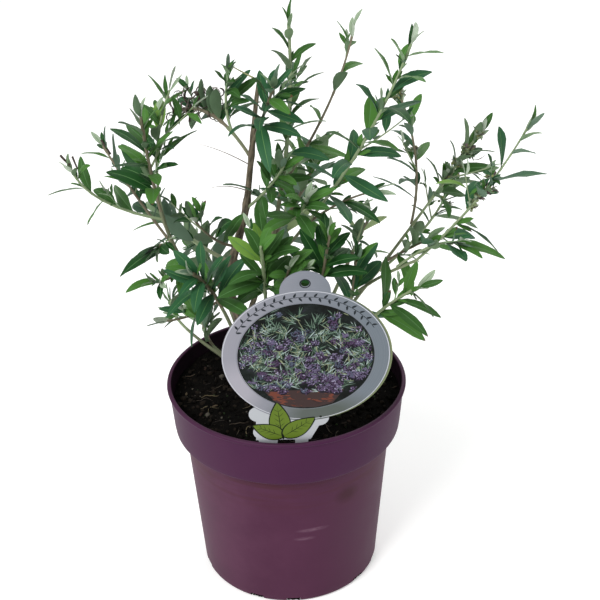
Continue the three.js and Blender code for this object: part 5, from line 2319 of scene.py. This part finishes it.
@dataclass
class DryParts:
    """What has died back: curled leaves at the left fork, dry side twigs and snapped stubs."""

    seed: int = 1300
    wilts: tuple = (Wilt((-55.0, 29.0, 346.0), (16.0, 6.0, 9.0), 46),
                    Wilt((-40.0, 2.0, 226.0), (6.0, 5.0, 6.0), 10),
                    Wilt((131.0, 38.0, 300.0), (6.0, 4.0, 5.0), 6))
    sticks: tuple = (Stick((-22, 11, 312), (-38, 7, 324), (-52, 2, 330), (0.4, 0.12), 1),
                     Stick((-24, 11, 293), (-36, 7, 300), (-47, 2, 299), (0.4, 0.12), 1),
                     Stick((-59, 31, 347), (-59, 30, 341), (-60, 30, 335), (0.9, 0.7), 0),
                     Stick((-14, 7, 371), (-20, 8, 374), (-31, 10, 380), (0.7, 0.3), 3),
                     Stick((-116, 43, 308), (-119, 45, 312), (-122, 47, 317), (0.8, 0.9), 0),
                     Stick((-131, -32, 332), (-134, -33, 336), (-136, -33, 339), (0.7, 0.8), 0),
                     Stick((-127, -29, 328), (-128, -30, 332), (-129, -31, 337), (0.5, 0.7), 0),
                     Stick((-30, 12, 245), (-22, 4, 250), (-14, -4, 246), (0.6, 0.3), 1))

    def curl(self, random: Random, wilt: Wilt) -> Vec:
        """Bends one curled leaf or tendril.

        Args:
            random: gives its bends.
            wilt: where it hangs.

        Returns:
            Its middle line.
        """
        offset = [reach * random.between(-1, 1) for reach in wilt.reach]
        place = np.array(wilt.middle) + offset
        heading = unit(np.array([random.between(-1, 1) for _ in range(3)]) + UP * 0.2)
        axis = across(heading)
        turn = random.between(0.12, 0.62)
        step = random.between(0.7, 1.6)
        line = []
        for _ in range(12):
            line.append(place)
            place = place + heading * step
            other = np.cross(axis, heading)
            heading = unit(heading * math.cos(turn) + other * math.sin(turn) + axis * 0.06)
        return np.array(line)

    def build(self) -> None:
        """Builds the dry parts, as one piece."""
        random = Random(self.seed)
        joined = Joined()
        for wilt in self.wilts:
            for _ in range(wilt.curls):
                line = self.curl(random, wilt)
                broad = random.between(0.4, 1.5)
                radii = broad * np.sin(np.linspace(0.3, math.pi - 0.15, len(line)))
                joined.add(*tube(line, radii, 6, 0.3), random.pick((0, 0, 2, 2, 1)))
        for stick in self.sticks:
            line = Bend(stick.foot, stick.elbow, stick.tip).line(12)
            joined.add(*tube(line, np.linspace(*stick.radii, 12), 7), stick.slot)
        finishes = [Rind("dead_leaf_brown", "#3b2d25"), Rind("dry_twig_grey", "#7b7068"),
                    Rind("wilted_green", "#54583e"), Rind("pale_shoot", "#8f9066")]
        joined.piece("dry_parts", "foliage", 60, finishes)


# ---------- the whole


def main() -> None:
    """Builds the studio and the plant, and reports each piece."""
    logging.basicConfig(level=logging.INFO, format="%(name)s %(message)s")
    pot = NurseryPot()
    bush = Bush()
    for part in (Studio(), pot, PottingSoil(pot), PictureTag(), Woodwork(bush.trunk, bush.shoots),
                 Foliage(bush), DryParts()):
        part.build()
    for piece in bpy.context.scene.objects:
        if piece.type == "MESH" and "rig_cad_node" not in piece:
            log.info("%s: %d faces", piece.name, len(piece.data.polygons))


if __name__ == "__main__":
    main()
